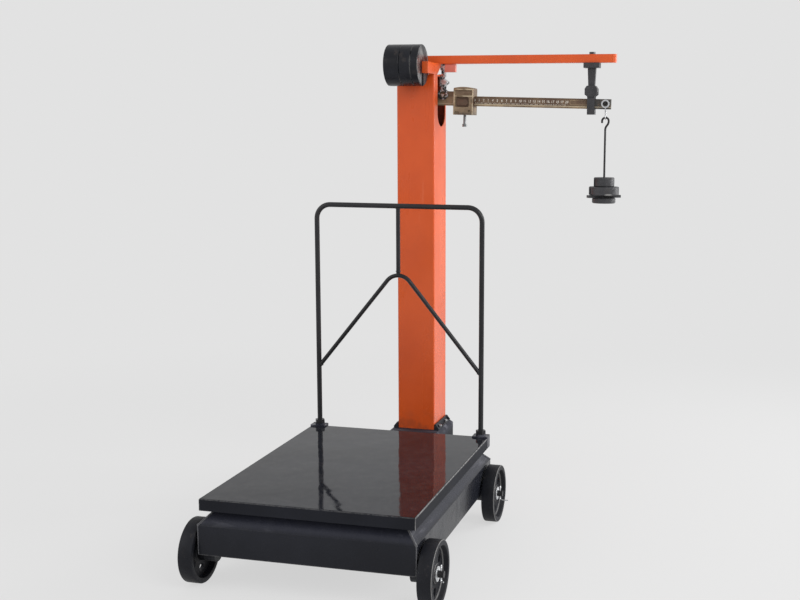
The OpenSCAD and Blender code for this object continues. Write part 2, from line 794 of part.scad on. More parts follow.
module fulcrum_stirrup() color(zinc) at_origin() {
    slot_x = strap_w + 2 * bolt_gap;
    slot_y = strap_d + 2 * bolt_gap;
    bridge_t = 5;
    translate([fulcrum_x, beam_y, stirrup_z])
        shackle(stirrup_gap, stirrup_t, stirrup_hole_r, stirrup_eye_r, strap_w,
            wedge_z - stirrup_z + bridge_t, bridge_t);
    difference() {
        translate([fulcrum_x, beam_y, wedge_z]) along_y(stirrup_gap + 2 * stirrup_t)
            polygon([[-8, 0], [3, 0], [12, 8], [12, 11], [-3, wedge_h], [-8, wedge_h]]);
        translate([fulcrum_x - slot_x / 2, beam_y - slot_y / 2, wedge_z + 6 - seat_gap])
            cube([slot_x, slot_y, wedge_h]);
        strap_pin_place() rod_y(strap_pin_d + 2 * bolt_gap, 2 * (stirrup_gap + 2 * stirrup_t));
    }
}

// Stop bracket: the beam swings between the ends of its window
module stop_bracket() color(black_paint) at_origin() translate([stop_x, beam_y, 0]) difference() {
    slot = beam_t + 2;
    union() {
        translate([0, 0, arm_z - flange_t / 2]) cube([flange_w, boss_d, flange_t], center = true);
        along_y(boss_d / 2) polygon([[-fork_w / 2 + 2, boss_z], [fork_w / 2 - 2, boss_z],
            [fork_w / 2 + 1, arm_z - flange_t / 2], [-fork_w / 2 - 1, arm_z - flange_t / 2]]);
        translate([0, 0, boss_z]) along_y(boss_d) polygon([
            [-boss_w / 2 + 7, -boss_h / 2], [boss_w / 2 - 7, -boss_h / 2], [boss_w / 2, 5 - boss_h / 2],
            [boss_w / 2, boss_h / 2 - 7], [boss_w / 2 - 5, boss_h / 2], [5 - boss_w / 2, boss_h / 2],
            [-boss_w / 2, boss_h / 2 - 7], [-boss_w / 2, 5 - boss_h / 2]]);
        translate([-fork_w / 2, -slot / 2 - fork_leg_t, stop_low_z - fork_cross_h])
            cube([fork_w, slot + 2 * fork_leg_t, boss_z - stop_low_z + fork_cross_h]);
    }
    translate([-boss_w, -slot / 2, stop_low_z]) cube([2 * boss_w, slot, stop_high_z - stop_low_z]);
    translate([0, 0, arm_z - flange_t + 3]) cylinder(d = 8 + 2 * bolt_gap, h = flange_t);
}

module stop_bolt() color(dark_iron) at_origin() translate([stop_x, beam_y, 0]) {
    translate([0, 0, arm_z - flange_t + 4]) cylinder(d = 8, h = arm_size + flange_t - 4);
    translate([0, 0, arm_top_z]) hex_head(13, 5.5);
}

// Platform

module deck() color(black_paint) at_origin() translate([0, 0, skirt_bottom_z]) difference() {
    intersection() {
        along_y(deck_l) arched_rect(deck_w, skirt_h, fold_r);
        along_x(deck_w) arched_rect(deck_l, skirt_h, fold_r);
    }
    translate([0, 0, (skirt_h - deck_t - cut) / 2])
        cube([deck_w - 2 * skirt_t, deck_l - 2 * skirt_t, skirt_h - deck_t + cut], center = true);
    both_sides() translate([socket_in_x - seat_gap, deck_l / 2 - notch_l - seat_gap, -cut])
        cube([2 * socket_w, 2 * notch_l, skirt_h + 2 * cut]);
    both_sides() translate([socket_in_x - ear_w / 2, deck_l / 2, (skirt_h - deck_t) / 2])
        rod_y(6 + 2 * bolt_gap, 4 * skirt_t);
}

module deck_ribs() color(black_paint) at_origin() translate([0, 0, rib_bottom_z]) {
    w = deck_w - 2 * skirt_t - 8;
    front_x = foot_x(long_slope);
    for (x = [-front_x, 0, front_x]) translate([x - rib_t / 2, -1.3 * load_y, 0])
        cube([rib_t, 2.6 * load_y, rib_h]);
    for (y = [-load_y, 0, load_y]) translate([-w / 2, y - rib_t / 2, 0]) cube([w, rib_t, rib_h]);
}

// Foot with a V groove that sits on a load knife
module deck_foot(x, y, knife_z) {
    top = rib_bottom_z - knife_z;
    both_sides() translate([x, y, knife_z]) {
        along_x(foot_w) polygon([[-foot_half, top], [-foot_half, -4], [2 - foot_half, -7], [-4.5, -7],
            [0, seat_gap], [4.5, -7], [foot_half - 2, -7], [foot_half, -4], [foot_half, top]]);
        translate([-foot_w / 2 - 6, -foot_half - 6, top - 5]) cube([foot_w + 12, 2 * foot_half + 12, 5]);
    }
}

module deck_feet() color(dark_iron) at_origin() {
    deck_foot(foot_x(long_slope), -load_y, long_knife_z);
    deck_foot(foot_x(short_slope), load_y, short_knife_z);
}

// Guard rail on the platform's rear corners

module guard_sockets() color(black_paint) at_origin() both_sides() difference() {
    top = deck_top_z + socket_rise;
    union() {
        translate([socket_in_x, deck_l / 2 - notch_l, skirt_bottom_z])
            linear_extrude(top - skirt_bottom_z) translate([socket_w / 2, (notch_l + socket_back) / 2])
                rounded_rect(socket_w, notch_l + socket_back, fold_r);
        translate([socket_in_x - ear_w, deck_l / 2, skirt_bottom_z + 1])
            cube([ear_w + fold_r, ear_t, skirt_h - 6]);
        translate([guard_x, guard_y, top]) cylinder(d = post_nut_af + 2, h = 3);
    }
    translate([guard_x, guard_y, skirt_bottom_z + 6])
        cylinder(d = guard_d + 2 * bolt_gap, h = 2 * skirt_h);
    translate([socket_in_x - ear_w / 2, deck_l / 2, skirt_bottom_z + (skirt_h - deck_t) / 2])
        rod_y(6 + 2 * bolt_gap, 4 * ear_t);
}

module guard_nuts() color(black_paint) at_origin() both_sides()
    translate([guard_x, guard_y, deck_top_z + socket_rise + 3]) difference() {
        hex_head(post_nut_af, 9);
        cylinder(d = guard_d + 2 * bolt_gap, h = 30, center = true);
    }

module guard_bolts() color(zinc) at_origin() both_sides()
    translate([socket_in_x - ear_w / 2, deck_l / 2, skirt_bottom_z + (skirt_h - deck_t) / 2]) {
        translate([0, ear_t + 2, 0]) rotate([90, 0, 0]) cylinder(d = 6, h = skirt_t + ear_t + 8);
        translate([0, ear_t + 4, 0]) rotate([90, 0, 0]) hex_head(10, 4);
        translate([0, -skirt_t, 0]) rotate([90, 0, 0]) hex_head(10, 5);
    }

module guard_frame() color(black_paint) at_origin() {
    foot_z = skirt_bottom_z + 7;
    post = guard_z - guard_bend_r - foot_z;
    top = 2 * (guard_x - guard_bend_r);
    translate([-guard_x, guard_y, foot_z]) rotate([90, 0, 0])
        rod_path(guard_d, [[post, 0], [guard_bend_r, -90], [top, 0], [guard_bend_r, -90], [post, 0]]);
}

module guard_brace() color(black_paint) at_origin() difference() {
    leg = (guard_x - brace_bend_r * sin(brace_slope)) / cos(brace_slope);
    translate([-guard_x, guard_y, brace_join_z]) rotate([90, 0, 0]) rotate(brace_slope - 90)
        rod_path(brace_d, [[leg, 0], [brace_bend_r, -2 * brace_slope], [leg, 0]]);
    both_sides() translate([guard_x, guard_y, brace_join_z])
        cylinder(d = guard_d + 2 * bolt_gap, h = 6 * guard_d, center = true);
}

// Stands on the brace's peak and ends under the top bar
module guard_center_bar() color(black_paint) at_origin() difference() {
    low = brace_center_z + brace_bend_r;
    translate([0, guard_y, low]) cylinder(d = brace_d, h = guard_z - low);
    translate([0, guard_y, guard_z]) rod_x(guard_d + 2 * bolt_gap, 4 * guard_d);
    translate([0, guard_y, low]) rod_x(brace_d + 2 * bolt_gap, 4 * guard_d);
}

// Levers

// Centre line of a lever arm at a distance from the fulcrum, and the foot beside its load knife
function arm_x(d, slope) = lever_x - (d + lever_tail) * slope;
function foot_x(slope) = arm_x(load_arm, slope) - (lever_t + foot_w) / 2 - side_gap - foot_half * slope;

// Straight arm seen from above, as thick in x at each end as it says
module arm_outline(a, b, w_a, w_b) polygon([[a[0] - w_a / 2, a[1]], [a[0] + w_a / 2, a[1]],
    [b[0] + w_b / 2, b[1]], [b[0] - w_b / 2, b[1]]]);

module slab() linear_extrude(2 * lever_depth, center = true) children();

// Side outline of a lever: deepest over the load knives, tapering to both ends
module lever_side(nose_y) polygon([[-lever_y - lever_tail, -heel_depth / 2],
    [-lever_y - lever_tail, heel_depth / 2], [-load_y, lever_depth / 2], [nose_y, nose_depth / 2],
    [nose_y, -nose_depth / 2], [-load_y, -lever_depth / 2]]);

// Knife through an arm, from one x to another
module side_knife(x0, x1, y, up) both_sides() translate([(x0 + x1) / 2, y, 0])
    along_x(x1 - x0) blade(up, knife_h);

// Fulcrum knives with their edges down and load knives with their edges up
module lever_knives(slope) {
    side_knife(arm_x(0, slope) - lever_t / 2 - 1, bearing_x + bearing_w / 2, -lever_y, false);
    side_knife(foot_x(slope) - foot_w / 2, arm_x(load_arm, slope) + lever_t / 2 + 1, -load_y, true);
}

module nose_knife(y, up) translate([0, y, 0]) along_x(2 * (link_x + link_t)) blade(up, knife_h);

module long_lever_blades() {
    lever_knives(long_slope);
    nose_knife(0, true);
    nose_knife(beam_y, false);
}

module long_lever() color(black_paint) at_origin() translate([0, 0, long_knife_z]) difference() {
    heel = -lever_y - lever_tail;
    tail = beam_y + lever_tail;
    rib_l = 2 * arm_x(lever_y - cross_rib_y, long_slope);
    intersection() {
        union() {
            both_sides() slab() arm_outline([lever_x, heel], [spine_w / 4, spine_y], lever_t, lever_t);
            slab() arm_outline([0, spine_y - lever_t], [0, tail], spine_w, lever_t);
            slab() arm_outline([0, -cross_rib_y], [0, spine_y], lever_t, lever_t);
            slab() arm_outline([0, -cross_rib_y], [0, lever_t - cross_rib_y], rib_l,
                rib_l - 2 * lever_t * long_slope);
        }
        along_x(3 * lever_x) lever_side(tail);
    }
    long_lever_blades();
}

module long_lever_knives() color(knife_steel) at_origin() translate([0, 0, long_knife_z])
    long_lever_blades();

// The short lever is the same way round as the long one until it is turned end for end
module short_lever_blades() {
    lever_knives(short_slope);
    nose_knife(0, false);
}

module turned_short_lever() at_origin() translate([0, 0, short_knife_z]) mirror([0, 1, 0]) children();

module short_lever() color(black_paint) turned_short_lever() difference() {
    heel = -lever_y - lever_tail;
    intersection() {
        union() {
            both_sides() slab() arm_outline([lever_x, heel], [lever_t / 4, -nose_l], lever_t, lever_t / 2);
            slab() arm_outline([0, -nose_l - lever_t], [0, lever_tail], lever_t, lever_t);
        }
        along_x(3 * lever_x) lever_side(lever_tail);
    }
    short_lever_blades();
}

module short_lever_knives() color(knife_steel) turned_short_lever() short_lever_blades();

// Side plates that hang the short lever's nose from the long lever
module lever_link() color(dark_iron) at_origin() {
    top = long_knife_z - link_hole_r + seat_gap;
    low = short_knife_z + link_hole_r - seat_gap;
    for (s = [-1, 1]) translate([s * link_x, 0, 0]) along_x(link_t) difference() {
        union() {
            translate([0, top]) circle(link_eye_r);
            translate([0, low]) circle(link_eye_r);
            translate([-link_eye_r, low]) square([2 * link_eye_r, top - low]);
        }
        translate([0, top]) circle(link_hole_r);
        translate([0, low]) circle(link_hole_r);
    }
}

// Pull rod with a shackle at each end

shackle_reach = 40;
shackle_bridge_t = 8;
upper_eye_z = load_z - eye_hole_r + seat_gap;
lower_eye_z = long_knife_z + link_hole_r - seat_gap;

module rod_lower_shackle() color(dark_iron) at_origin() translate([0, beam_y, lower_eye_z])
    rotate([0, 0, 90]) shackle(lever_t + 2 * side_gap, link_t, link_hole_r, link_eye_r, 14,
        shackle_reach, shackle_bridge_t);

module rod_upper_shackle() color(dark_iron) at_origin() translate([load_x, beam_y, upper_eye_z])
    mirror([0, 0, 1]) shackle(eye_gap, eye_t, eye_hole_r, eye_r, 12, shackle_reach, shackle_bridge_t);

module pull_rod() color(dark_iron) at_origin() translate([0, beam_y, lower_eye_z + shackle_reach])
    cylinder(d = pull_rod_d, h = upper_eye_z - lower_eye_z - 2 * shackle_reach);

// Steelyard beam: drawn level, with the fulcrum edge at its origin, then set at its droop
module on_beam() at_origin() translate([fulcrum_x, beam_y, beam_z]) rotate([0, beam_droop, 0]) children();

blade_l = eye_gap + 2 * eye_t + 3;

module fulcrum_blade() along_y(stirrup_gap + 2 * stirrup_t + 3) blade(false, knife_h);

module load_blade() translate([-short_arm, 0, 0]) along_y(blade_l) blade(true, end_knife_h);

module tip_blade() translate([long_arm, 0, 0]) along_y(blade_l) blade(true, end_knife_h);

module beam() color(brass) on_beam() difference() {
    band_end = long_arm - eye_r - 4;
    union() {
        along_y(beam_t) translate([-short_arm, -3]) circle(root_r);
        along_y(beam_t) polygon([[-short_arm, bar_bottom + 2], [-short_arm / 2, bar_bottom],
            [long_arm + tip_length, bar_bottom], [long_arm + tip_length, bar_top], [root_end, bar_top],
            [root_end, root_rise - 4], [root_end - 4, root_rise], [-14, root_rise],
            [-short_arm / 2, root_rise - 6], [-short_arm, root_rise - 7]]);
    }
    for (s = [-1, 1]) translate([(root_end + band_end) / 2, s * beam_t / 2, bar_bottom + band_bottom])
        along_y(2 * band_depth) centred_rect(band_end - root_end, bar_h - band_top - band_bottom);
    fulcrum_blade();
    load_blade();
    tip_blade();
}

module fulcrum_knife() color(knife_steel) on_beam() fulcrum_blade();

module load_knife() color(knife_steel) on_beam() load_blade();

module tip_knife() color(knife_steel) on_beam() tip_blade();

module balance_stud() color(knife_steel) on_beam() difference() {
    translate([-short_arm - root_r + 2 - (stud_l + 2) / 2, 0, -3]) rod_x(stud_d, stud_l + 2);
    translate([-short_arm, 0, -3]) rod_y(2 * root_r, 2 * beam_t);
}

ball_x = -short_arm - root_r - stud_l / 2;

module balance_ball() color(brass) on_beam() translate([ball_x, 0, -3]) rotate([0, 90, 0])
    rotate_extrude() polygon([[stud_d / 2 + run_gap, -ball_w / 2], [ball_d / 2 - 3, -ball_w / 2],
        [ball_d / 2, 3 - ball_w / 2], [ball_d / 2, ball_w / 2 - 3], [ball_d / 2 - 3, ball_w / 2],
        [stud_d / 2 + run_gap, ball_w / 2]]);

poise_mid = poise_start + poise_w / 2;
poise_low = -knife_rise - poise_h / 2 - 2;

module poise() color(brass) on_beam() translate([poise_mid, 0, 0]) difference() {
    flange = 3;
    proud = 1.5;
    dome_r = 105;
    rim_z = poise_low + poise_h - 20;
    union() {
        along_y(poise_d) intersection() {
            translate([0, poise_low]) centred_rect(poise_w, poise_h + poise_dome);
            translate([0, poise_low + poise_h + poise_dome - dome_r]) circle(r = dome_r, $fn = 128);
        }
        both_sides() translate([poise_w / 2 - flange, -poise_d / 2 - proud, poise_low])
            cube([flange, poise_d + 2 * proud, poise_h - 2]);
        translate([-poise_w / 2, -poise_d / 2 - proud, rim_z]) cube([poise_w, poise_d + 2 * proud, 3]);
    }
    for (s = [-1, 1]) translate([-3, s * poise_d / 2, rim_z - 25]) along_y(8)
        arched_rect(poise_w - 16, 24, 2);
    translate([-poise_w, -beam_t / 2 - seat_gap, bar_bottom - seat_gap])
        cube([2 * poise_w, beam_t + 2 * seat_gap, bar_h + 2 * seat_gap]);
    translate([0, 0, poise_low - cut])
        cylinder(d = screw_d + 2 * run_gap, h = poise_h / 2);
}

module poise_screw() color(zinc) on_beam() translate([poise_mid, 0, poise_low - screw_drop]) {
    cylinder(d = screw_d, h = bar_bottom - seat_gap - poise_low + screw_drop);
    difference() {
        cylinder(d = screw_head_d, h = 7);
        for (a = [0 : 45 : 315]) rotate(a) translate([screw_head_d / 2, 0, -cut]) cylinder(d = 1.6, h = 9);
    }
}

// Counterpoise

module tip_stirrup() color(zinc) at_origin() translate([tip_x, beam_y, 0]) {
    top = tip_z - eye_hole_r + seat_gap;
    y = (eye_gap + eye_t) / 2;
    for (s = [-1, 1]) {
        translate([0, s * y, top]) along_y(eye_t) difference() {
            circle(eye_r);
            circle(eye_hole_r);
        }
        rod_between([0, s * y, top - eye_r + 1], [0, s * 2, ring_z + ring_r - 0.5], link_wire);
    }
    translate([0, 0, ring_z]) rotate([0, 90, 0])
        rotate_extrude() translate([ring_r, 0]) circle(d = link_wire);
}

// Hook open to the left, then two equal arcs that bring the rod back under the ring
module hanger_rod() color(dark_iron) at_origin() {
    turn = acos(1 - hook_r / 2 / neck_r);
    neck = hook_z - 2 * neck_r * sin(turn);
    translate([tip_x - hook_r, beam_y, hook_z - 5]) rotate([90, 0, 0]) rod_path(rod_wire, [[5, 0],
        [hook_r, -180], [neck_r, -turn], [neck_r, turn], [neck - hanger_bottom_z - 2, 0]]);
}

module hanger_base() color(dark_iron) at_origin() translate([tip_x, beam_y, hanger_bottom_z]) difference() {
    union() {
        bevelled_disc(hanger_disc_d, hanger_disc_h, 2);
        translate([0, 0, hanger_disc_h + wing_t / 2]) rotate([0, 0, wing_turn])
            cube([wing_l, wing_w, wing_t], center = true);
    }
    translate([0, 0, 2]) cylinder(d = rod_wire + 2 * bolt_gap, h = 2 * hanger_disc_h);
}

module hanger_weight_lower() color(dark_iron) at_origin() translate([tip_x, beam_y, low_weight_z])
    rotate([0, 0, slot_turn]) slotted_disc(low_weight_d, low_weight_h, rod_wire / 2 + side_gap);

module hanger_weight_upper() color(dark_iron) at_origin() translate([tip_x, beam_y, top_weight_z])
    rotate([0, 0, slot_turn]) slotted_disc(top_weight_d, top_weight_h, rod_wire / 2 + side_gap);

// Stored weight number i, counted from the rack bar, hung on the peg with its slot down
module stored_weight(i) color(black_paint) at_origin() {
    before = (i > 0 ? stored_t[0] : 0) + (i > 1 ? stored_t[1] : 0);
    x = rack_x - block_w - (i + 1) * seat_gap - before;
    translate([x, peg_y, stored_z]) rotate([0, -90, 0]) rotate([0, 0, 180])
        slotted_disc(stored_d, stored_t[i], stored_slot_r);
}

module stored_weight_1() stored_weight(0);

module stored_weight_2() stored_weight(1);

module stored_weight_3() stored_weight(2);

base_frame();
front_axle();
rear_axle();
axle_brackets();
wheel_washers();
cotter_pins();
fulcrum_bearings();
column();
column_cap();
column_angles();
column_bolts();
arm();
arm_end_cap();
arm_saddle();
rack_bar();
weight_peg();
hanger_lug();
hanger_bolt();
fulcrum_strap();
fulcrum_stirrup();
stop_bracket();
stop_bolt();
deck();
deck_ribs();
deck_feet();
guard_sockets();
guard_nuts();
guard_bolts();
guard_frame();
guard_center_bar();
guard_brace();
long_lever();
long_lever_knives();
lever_link();
short_lever();
short_lever_knives();
pull_rod();
rod_lower_shackle();
rod_upper_shackle();
beam();
fulcrum_knife();
load_knife();
tip_knife();
balance_stud();
balance_ball();
poise();
poise_screw();
tip_stirrup();
hanger_rod();
hanger_base();
hanger_weight_lower();
hanger_weight_upper();
stored_weight_1();
stored_weight_2();
stored_weight_3();
wheel_front_left();
wheel_front_right();
wheel_rear_left();
wheel_rear_right();
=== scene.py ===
"""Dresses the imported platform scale: castings, enamel, aged brass, welds, marks and the studio."""

from math import cos, pi, radians, sin, tan

import bpy
from mathutils import Matrix, Vector


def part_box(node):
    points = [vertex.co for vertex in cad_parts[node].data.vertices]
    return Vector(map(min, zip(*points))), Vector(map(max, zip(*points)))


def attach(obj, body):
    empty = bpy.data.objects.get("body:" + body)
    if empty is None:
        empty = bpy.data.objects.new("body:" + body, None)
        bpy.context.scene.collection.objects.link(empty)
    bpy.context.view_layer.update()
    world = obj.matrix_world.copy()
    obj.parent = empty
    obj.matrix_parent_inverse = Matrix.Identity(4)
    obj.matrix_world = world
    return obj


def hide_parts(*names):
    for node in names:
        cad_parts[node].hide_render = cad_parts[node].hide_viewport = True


bl_info = {
    "name": "Platform scale",
    "version": (1, 0, 0),
    "blender": (4, 5, 0),
    "location": "View3D > Sidebar > Platform scale",
    "description": "Finishes the scale's castings, paint, brass and fastenings, and lights it",
    "category": "Add Mesh",
}

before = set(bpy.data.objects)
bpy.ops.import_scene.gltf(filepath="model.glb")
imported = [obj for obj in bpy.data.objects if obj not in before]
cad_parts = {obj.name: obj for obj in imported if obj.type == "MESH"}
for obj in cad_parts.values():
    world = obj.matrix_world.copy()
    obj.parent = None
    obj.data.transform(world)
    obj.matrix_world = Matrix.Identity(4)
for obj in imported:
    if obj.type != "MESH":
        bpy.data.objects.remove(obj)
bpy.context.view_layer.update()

# Places in the part, in millimetres from the middle of the platform and the floor

MM = 0.001
deck_low, deck_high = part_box("deck")
MIDDLE = Vector(((deck_low.x + deck_high.x) / 2, (deck_low.y + deck_high.y) / 2, 0))
SIDES = (-1, 1)
DROOP = radians(1.27)
FULCRUM = Vector((55, 504, 994)) * MM + MIDDLE
BEAM_Y = 504 * MM + MIDDLE.y
LEVEL = Matrix.Translation(FULCRUM) @ Matrix.Rotation(DROOP, 4, "Y")
AXLE_Y = 258
AXLE_Z = 66.5
WHEEL_X = 248


def mm(x, y, z):
    """A vector given in millimetres."""
    return Vector((x, y, z)) * MM


def place(x, y, z):
    """A point given in millimetres from the middle of the platform and the floor."""
    return mm(x, y, z) + MIDDLE


# Sizes and colours

def size_of(name, description, default):
    """A length that a user may change."""
    return bpy.props.FloatProperty(name=name, description=description, default=default * MM,
                                   min=0.0, unit="LENGTH")


def colour_of(name, description, default):
    """A linear colour that a user may change."""
    return bpy.props.FloatVectorProperty(name=name, description=description, default=default,
                                         subtype="COLOR", min=0, max=1)


class ScaleSizes(bpy.types.PropertyGroup):
    """Sizes of the details that are modelled over the frame"""
    wheel_fillet: size_of("Wheel edges", "Softened edge of the holes in the webs", 0.9)
    wheel_steps: bpy.props.IntProperty(name="Wheel steps", description="Facets round a wheel",
                                       default=72, min=24)
    bead_radius: size_of("Weld bead", "Radius of the weld beads", 1.9)
    plate_edge: size_of("Plate edges", "Softened edge of plates and tubes", 0.8)
    cast_edge: size_of("Cast edges", "Softened edge of the castings", 1.5)
    small_edge: size_of("Fastener edges", "Softened edge of bolts, nuts and knives", 0.4)
    mark_pitch: size_of("Mark pitch", "Distance between two marks on the beam", 2.3)
    mark_height: size_of("Numeral height", "Height of the beam's numerals", 6.6)


class ScaleColours(bpy.types.PropertyGroup):
    """Colours of the finishes"""
    black: colour_of("Black enamel", "Enamel of the frame and the platform", (0.0125, 0.0135, 0.0185))
    orange: colour_of("Orange enamel", "Enamel of the column and the arm", (0.630, 0.092, 0.016))
    brass: colour_of("Brass", "Clean brass of the beam and the poise", (0.340, 0.250, 0.155))
    patina: colour_of("Patina", "Brown film on the brass", (0.092, 0.060, 0.040))
    iron: colour_of("Iron", "Dark cast iron of the weights", (0.040, 0.040, 0.044))
    zinc: colour_of("Zinc", "Zinc coat of washers, bolts and links", (0.520, 0.530, 0.540))
    steel: colour_of("Steel", "Ground steel of the knives", (0.560, 0.550, 0.530))
    backdrop: colour_of("Backdrop", "Floor and backdrop", (0.761, 0.761, 0.761))


# Tones that the finishes wear down to or gather, and tones of painted sheen, highlight and shade

DUST = (0.16, 0.155, 0.15)
# Painted sheen and painted highlight streaks for the frame's shoulders
PAINTED_SHEEN = (0.044, 0.046, 0.066)
STREAK_HIGHLIGHT = (0.15, 0.15, 0.175)
# Rubbed paint, also used as painted highlight on the deck's folds
RUBBED_PAINT_AND_HIGHLIGHT = (0.24, 0.235, 0.235)
CHIPPED_PAINT = (0.10, 0.095, 0.09)
GRIME = (0.26, 0.055, 0.022)
FOOT_DIRT = (0.12, 0.05, 0.03)
SCRATCHED_ORANGE = (0.78, 0.30, 0.17)
CHIPPED_ORANGE = (0.13, 0.055, 0.04)
# Painted shade on the column's inner walls
SHADED_INSIDE_RED = (0.22, 0.040, 0.022)
BRASS_SPOT = (0.030, 0.022, 0.018)
SUNK_BRASS = (0.060, 0.024, 0.016)
STAINED_BRASS = (0.050, 0.049, 0.047)
RUBBED_BRASS = (0.56, 0.47, 0.33)
RUST_FILM = (0.064, 0.052, 0.046)
# Bare iron, also used as painted highlight on wheels, weights and the wing bar
BARE_IRON_AND_HIGHLIGHT = (0.30, 0.295, 0.29)
ZINC_STAIN = (0.17, 0.145, 0.115)
GREASE = (0.020, 0.019, 0.019)
OIL_STAIN = (0.24, 0.20, 0.16)


def tinted(colour, level):
    """The colour, darker or lighter."""
    return [min(1, level * c) for c in colour]


# Shader maths

class Wire:
    """A socket in a node tree. Sums and products of it add their own maths nodes."""

    def __init__(self, graph, socket):
        self.graph = graph
        self.socket = socket

    def __add__(self, other):
        return self.graph.maths("ADD", self, other)

    def __radd__(self, other):
        return self.graph.maths("ADD", other, self)

    def __sub__(self, other):
        return self.graph.maths("SUBTRACT", self, other)

    def __rsub__(self, other):
        return self.graph.maths("SUBTRACT", other, self)

    def __mul__(self, other):
        return self.graph.maths("MULTIPLY", self, other)

    def __rmul__(self, other):
        return self.graph.maths("MULTIPLY", other, self)

    def __pow__(self, other):
        return self.graph.maths("POWER", self, other)

    def __abs__(self):
        return self.graph.maths("ABSOLUTE", self)

    def above(self, low, high):
        """0 below low, 1 above high, and a smooth step between them."""
        return self.graph.node("ShaderNodeMapRange", {"interpolation_type": "SMOOTHSTEP"},
                               {"Value": self, "From Min": low, "From Max": high})


class Graph:
    """A node tree that one method fills."""

    def __init__(self, tree):
        self.nodes = tree.nodes
        self.links = tree.links

    def node(self, kind, settings=None, inputs=None, output=0):
        """Adds a node, with its settings first and then the values or links of its sockets."""
        node = self.nodes.new(kind)
        for key, value in (settings or {}).items():
            setattr(node, key, value)
        for key, value in (inputs or {}).items():
            self.feed(node.inputs[key], value)
        return Wire(self, node.outputs[output])

    def feed(self, socket, value):
        """Links a wire to a socket, or writes a plain value on it."""
        if isinstance(value, Wire):
            self.links.new(value.socket, socket)
        elif hasattr(value, "__len__") and len(getattr(socket, "default_value", ())) == 4:
            socket.default_value = (*value, 1)
        else:
            socket.default_value = value

    def maths(self, operation, *values):
        """A number worked out from others."""
        return self.node("ShaderNodeMath", {"operation": operation}, dict(enumerate(values)))

    def most(self, a, b):
        """The larger of two numbers."""
        return self.maths("MAXIMUM", a, b)

    def ray(self, kind):
        """1 for rays of that kind: Camera, Glossy or Transmission."""
        return self.node("ShaderNodeLightPath", output="Is %s Ray" % kind)


class Finish(Graph):
    """One material, built node by node on the object's own coordinates."""

    def __init__(self, name):
        self.material = bpy.data.materials.new(name)
        self.material.use_nodes = True
        super().__init__(self.material.node_tree)
        self.shader = self.nodes["Principled BSDF"]
        self.coordinates = self.node("ShaderNodeTexCoord", output="Object")
        self.x = self.part("X")
        self.y = self.part("Y")
        self.z = self.part("Z")

    def part(self, axis):
        """One of the three object coordinates."""
        return self.node("ShaderNodeSeparateXYZ", None, {0: self.coordinates}, axis)

    def mix(self, factor, a, b):
        """Colour a where the factor is 0 and colour b where it is 1."""
        return self.node("ShaderNodeMix", {"data_type": "RGBA"}, {0: factor, 6: a, 7: b}, 2)

    def stretched(self, x, y, z):
        """Coordinates that draw a pattern out along the axes with a small number."""
        return self.node("ShaderNodeMapping", {"vector_type": "POINT"},
                         {"Vector": self.coordinates, "Scale": (x, y, z)})

    def noise(self, scale, detail=3.0, rough=0.5, along=None):
        """Cloudy pattern whose features are about a metre divided by the scale."""
        return self.node("ShaderNodeTexNoise", None,
                         {"Vector": along or self.coordinates, "Scale": scale, "Detail": detail,
                          "Roughness": rough})

    def cells(self, scale):
        """A plain random colour in each cell of a broken pattern."""
        return self.node("ShaderNodeTexVoronoi", None,
                         {"Vector": self.coordinates, "Scale": scale}, "Color")

    def upward(self):
        """1 where the surface faces up, 0 where it is upright or faces down."""
        normal = self.node("ShaderNodeNewGeometry", output="Normal")
        return self.node("ShaderNodeSeparateXYZ", None, {0: normal}, "Z").above(0.5, 0.95)

    def near(self, value, target, width):
        """1 where the value is at the target, falling to 0 at the width away from it."""
        return 1 - abs(value - target).above(0.25 * width, width)

    def set(self, **values):
        """Writes or links sockets of the surface shader; an underscore stands for a space."""
        for key, value in values.items():
            self.feed(self.shader.inputs[key.replace("_", " ")], value)

    def rough_face(self, *layers):
        """Bump from pairs of height and depth in metres, one on top of the other."""
        normal = None
        for height, depth in layers:
            inputs = {"Height": height, "Distance": depth, "Strength": 1.0}
            if normal:
                inputs["Normal"] = normal
            normal = self.node("ShaderNodeBump", None, inputs)
        self.set(Normal=normal)


# Finishes

def black_enamel(name, colour, gloss, wave, ior, peel=0.00003, swirl=9, wear_and_highlight=None, lit=None,
                 dull=None):
    """Brushed and sprayed black enamel: orange peel, dust on what faces up, and chips, with painted
    sheen and painted highlight streaks where lit is given.
    """
    f = Finish(name)
    cloud = f.noise(swirl, 3)
    smear = f.noise(38, 5, 0.6)
    grain = f.noise(950, 2)
    dust = f.upward() * f.noise(60, 6, 0.7).above(0.42, 0.75)
    chips = f.noise(210, 4, 0.65).above(0.735, 0.755)
    tone = f.mix(cloud.above(0.35, 0.65), colour, tinted(colour, 0.72))
    tone = f.mix(dust * 0.10, tone, DUST)
    if lit is not None:
        # Painted sheen and painted highlight streaks: lighter paint that stands in for light
        sheen, streak_highlight = lit(f)
        tone = f.mix(sheen, tone, PAINTED_SHEEN)
        tone = f.mix(streak_highlight, tone, STREAK_HIGHLIGHT)
    # Rubbed paint on edges; on the deck's folds it is painted highlight too
    if wear_and_highlight is not None:
        edge = wear_and_highlight(f) * f.noise(120, 5, 0.7).above(0.30, 0.62)
        tone = f.mix(edge, tone, RUBBED_PAINT_AND_HIGHLIGHT)
        f.set(Metallic=edge * 0.4)
    tone = f.mix(chips * 0.35, tone, CHIPPED_PAINT)
    rough = gloss + smear.above(0.35, 0.75) * (0.6 * gloss) + dust * (0.5 * gloss) + chips * 0.2
    if dull is not None:
        rough = rough + dull(f)
    f.set(Base_Color=tone, Roughness=rough, IOR=ior)
    f.rough_face((cloud, wave), (grain, peel), (chips, -0.00008))
    return f.material


def column_inside(f):
    """1 on the column's inner walls, below its cap, where the enamel is darkened as painted shade."""
    across = 1 - abs(f.x - MIDDLE.x).above(0.0452, 0.0456)
    deep = 1 - abs(f.y - BEAM_Y + 0.006).above(0.0522, 0.0526)
    return across * deep * (1 - f.z.above(1.044, 1.046))


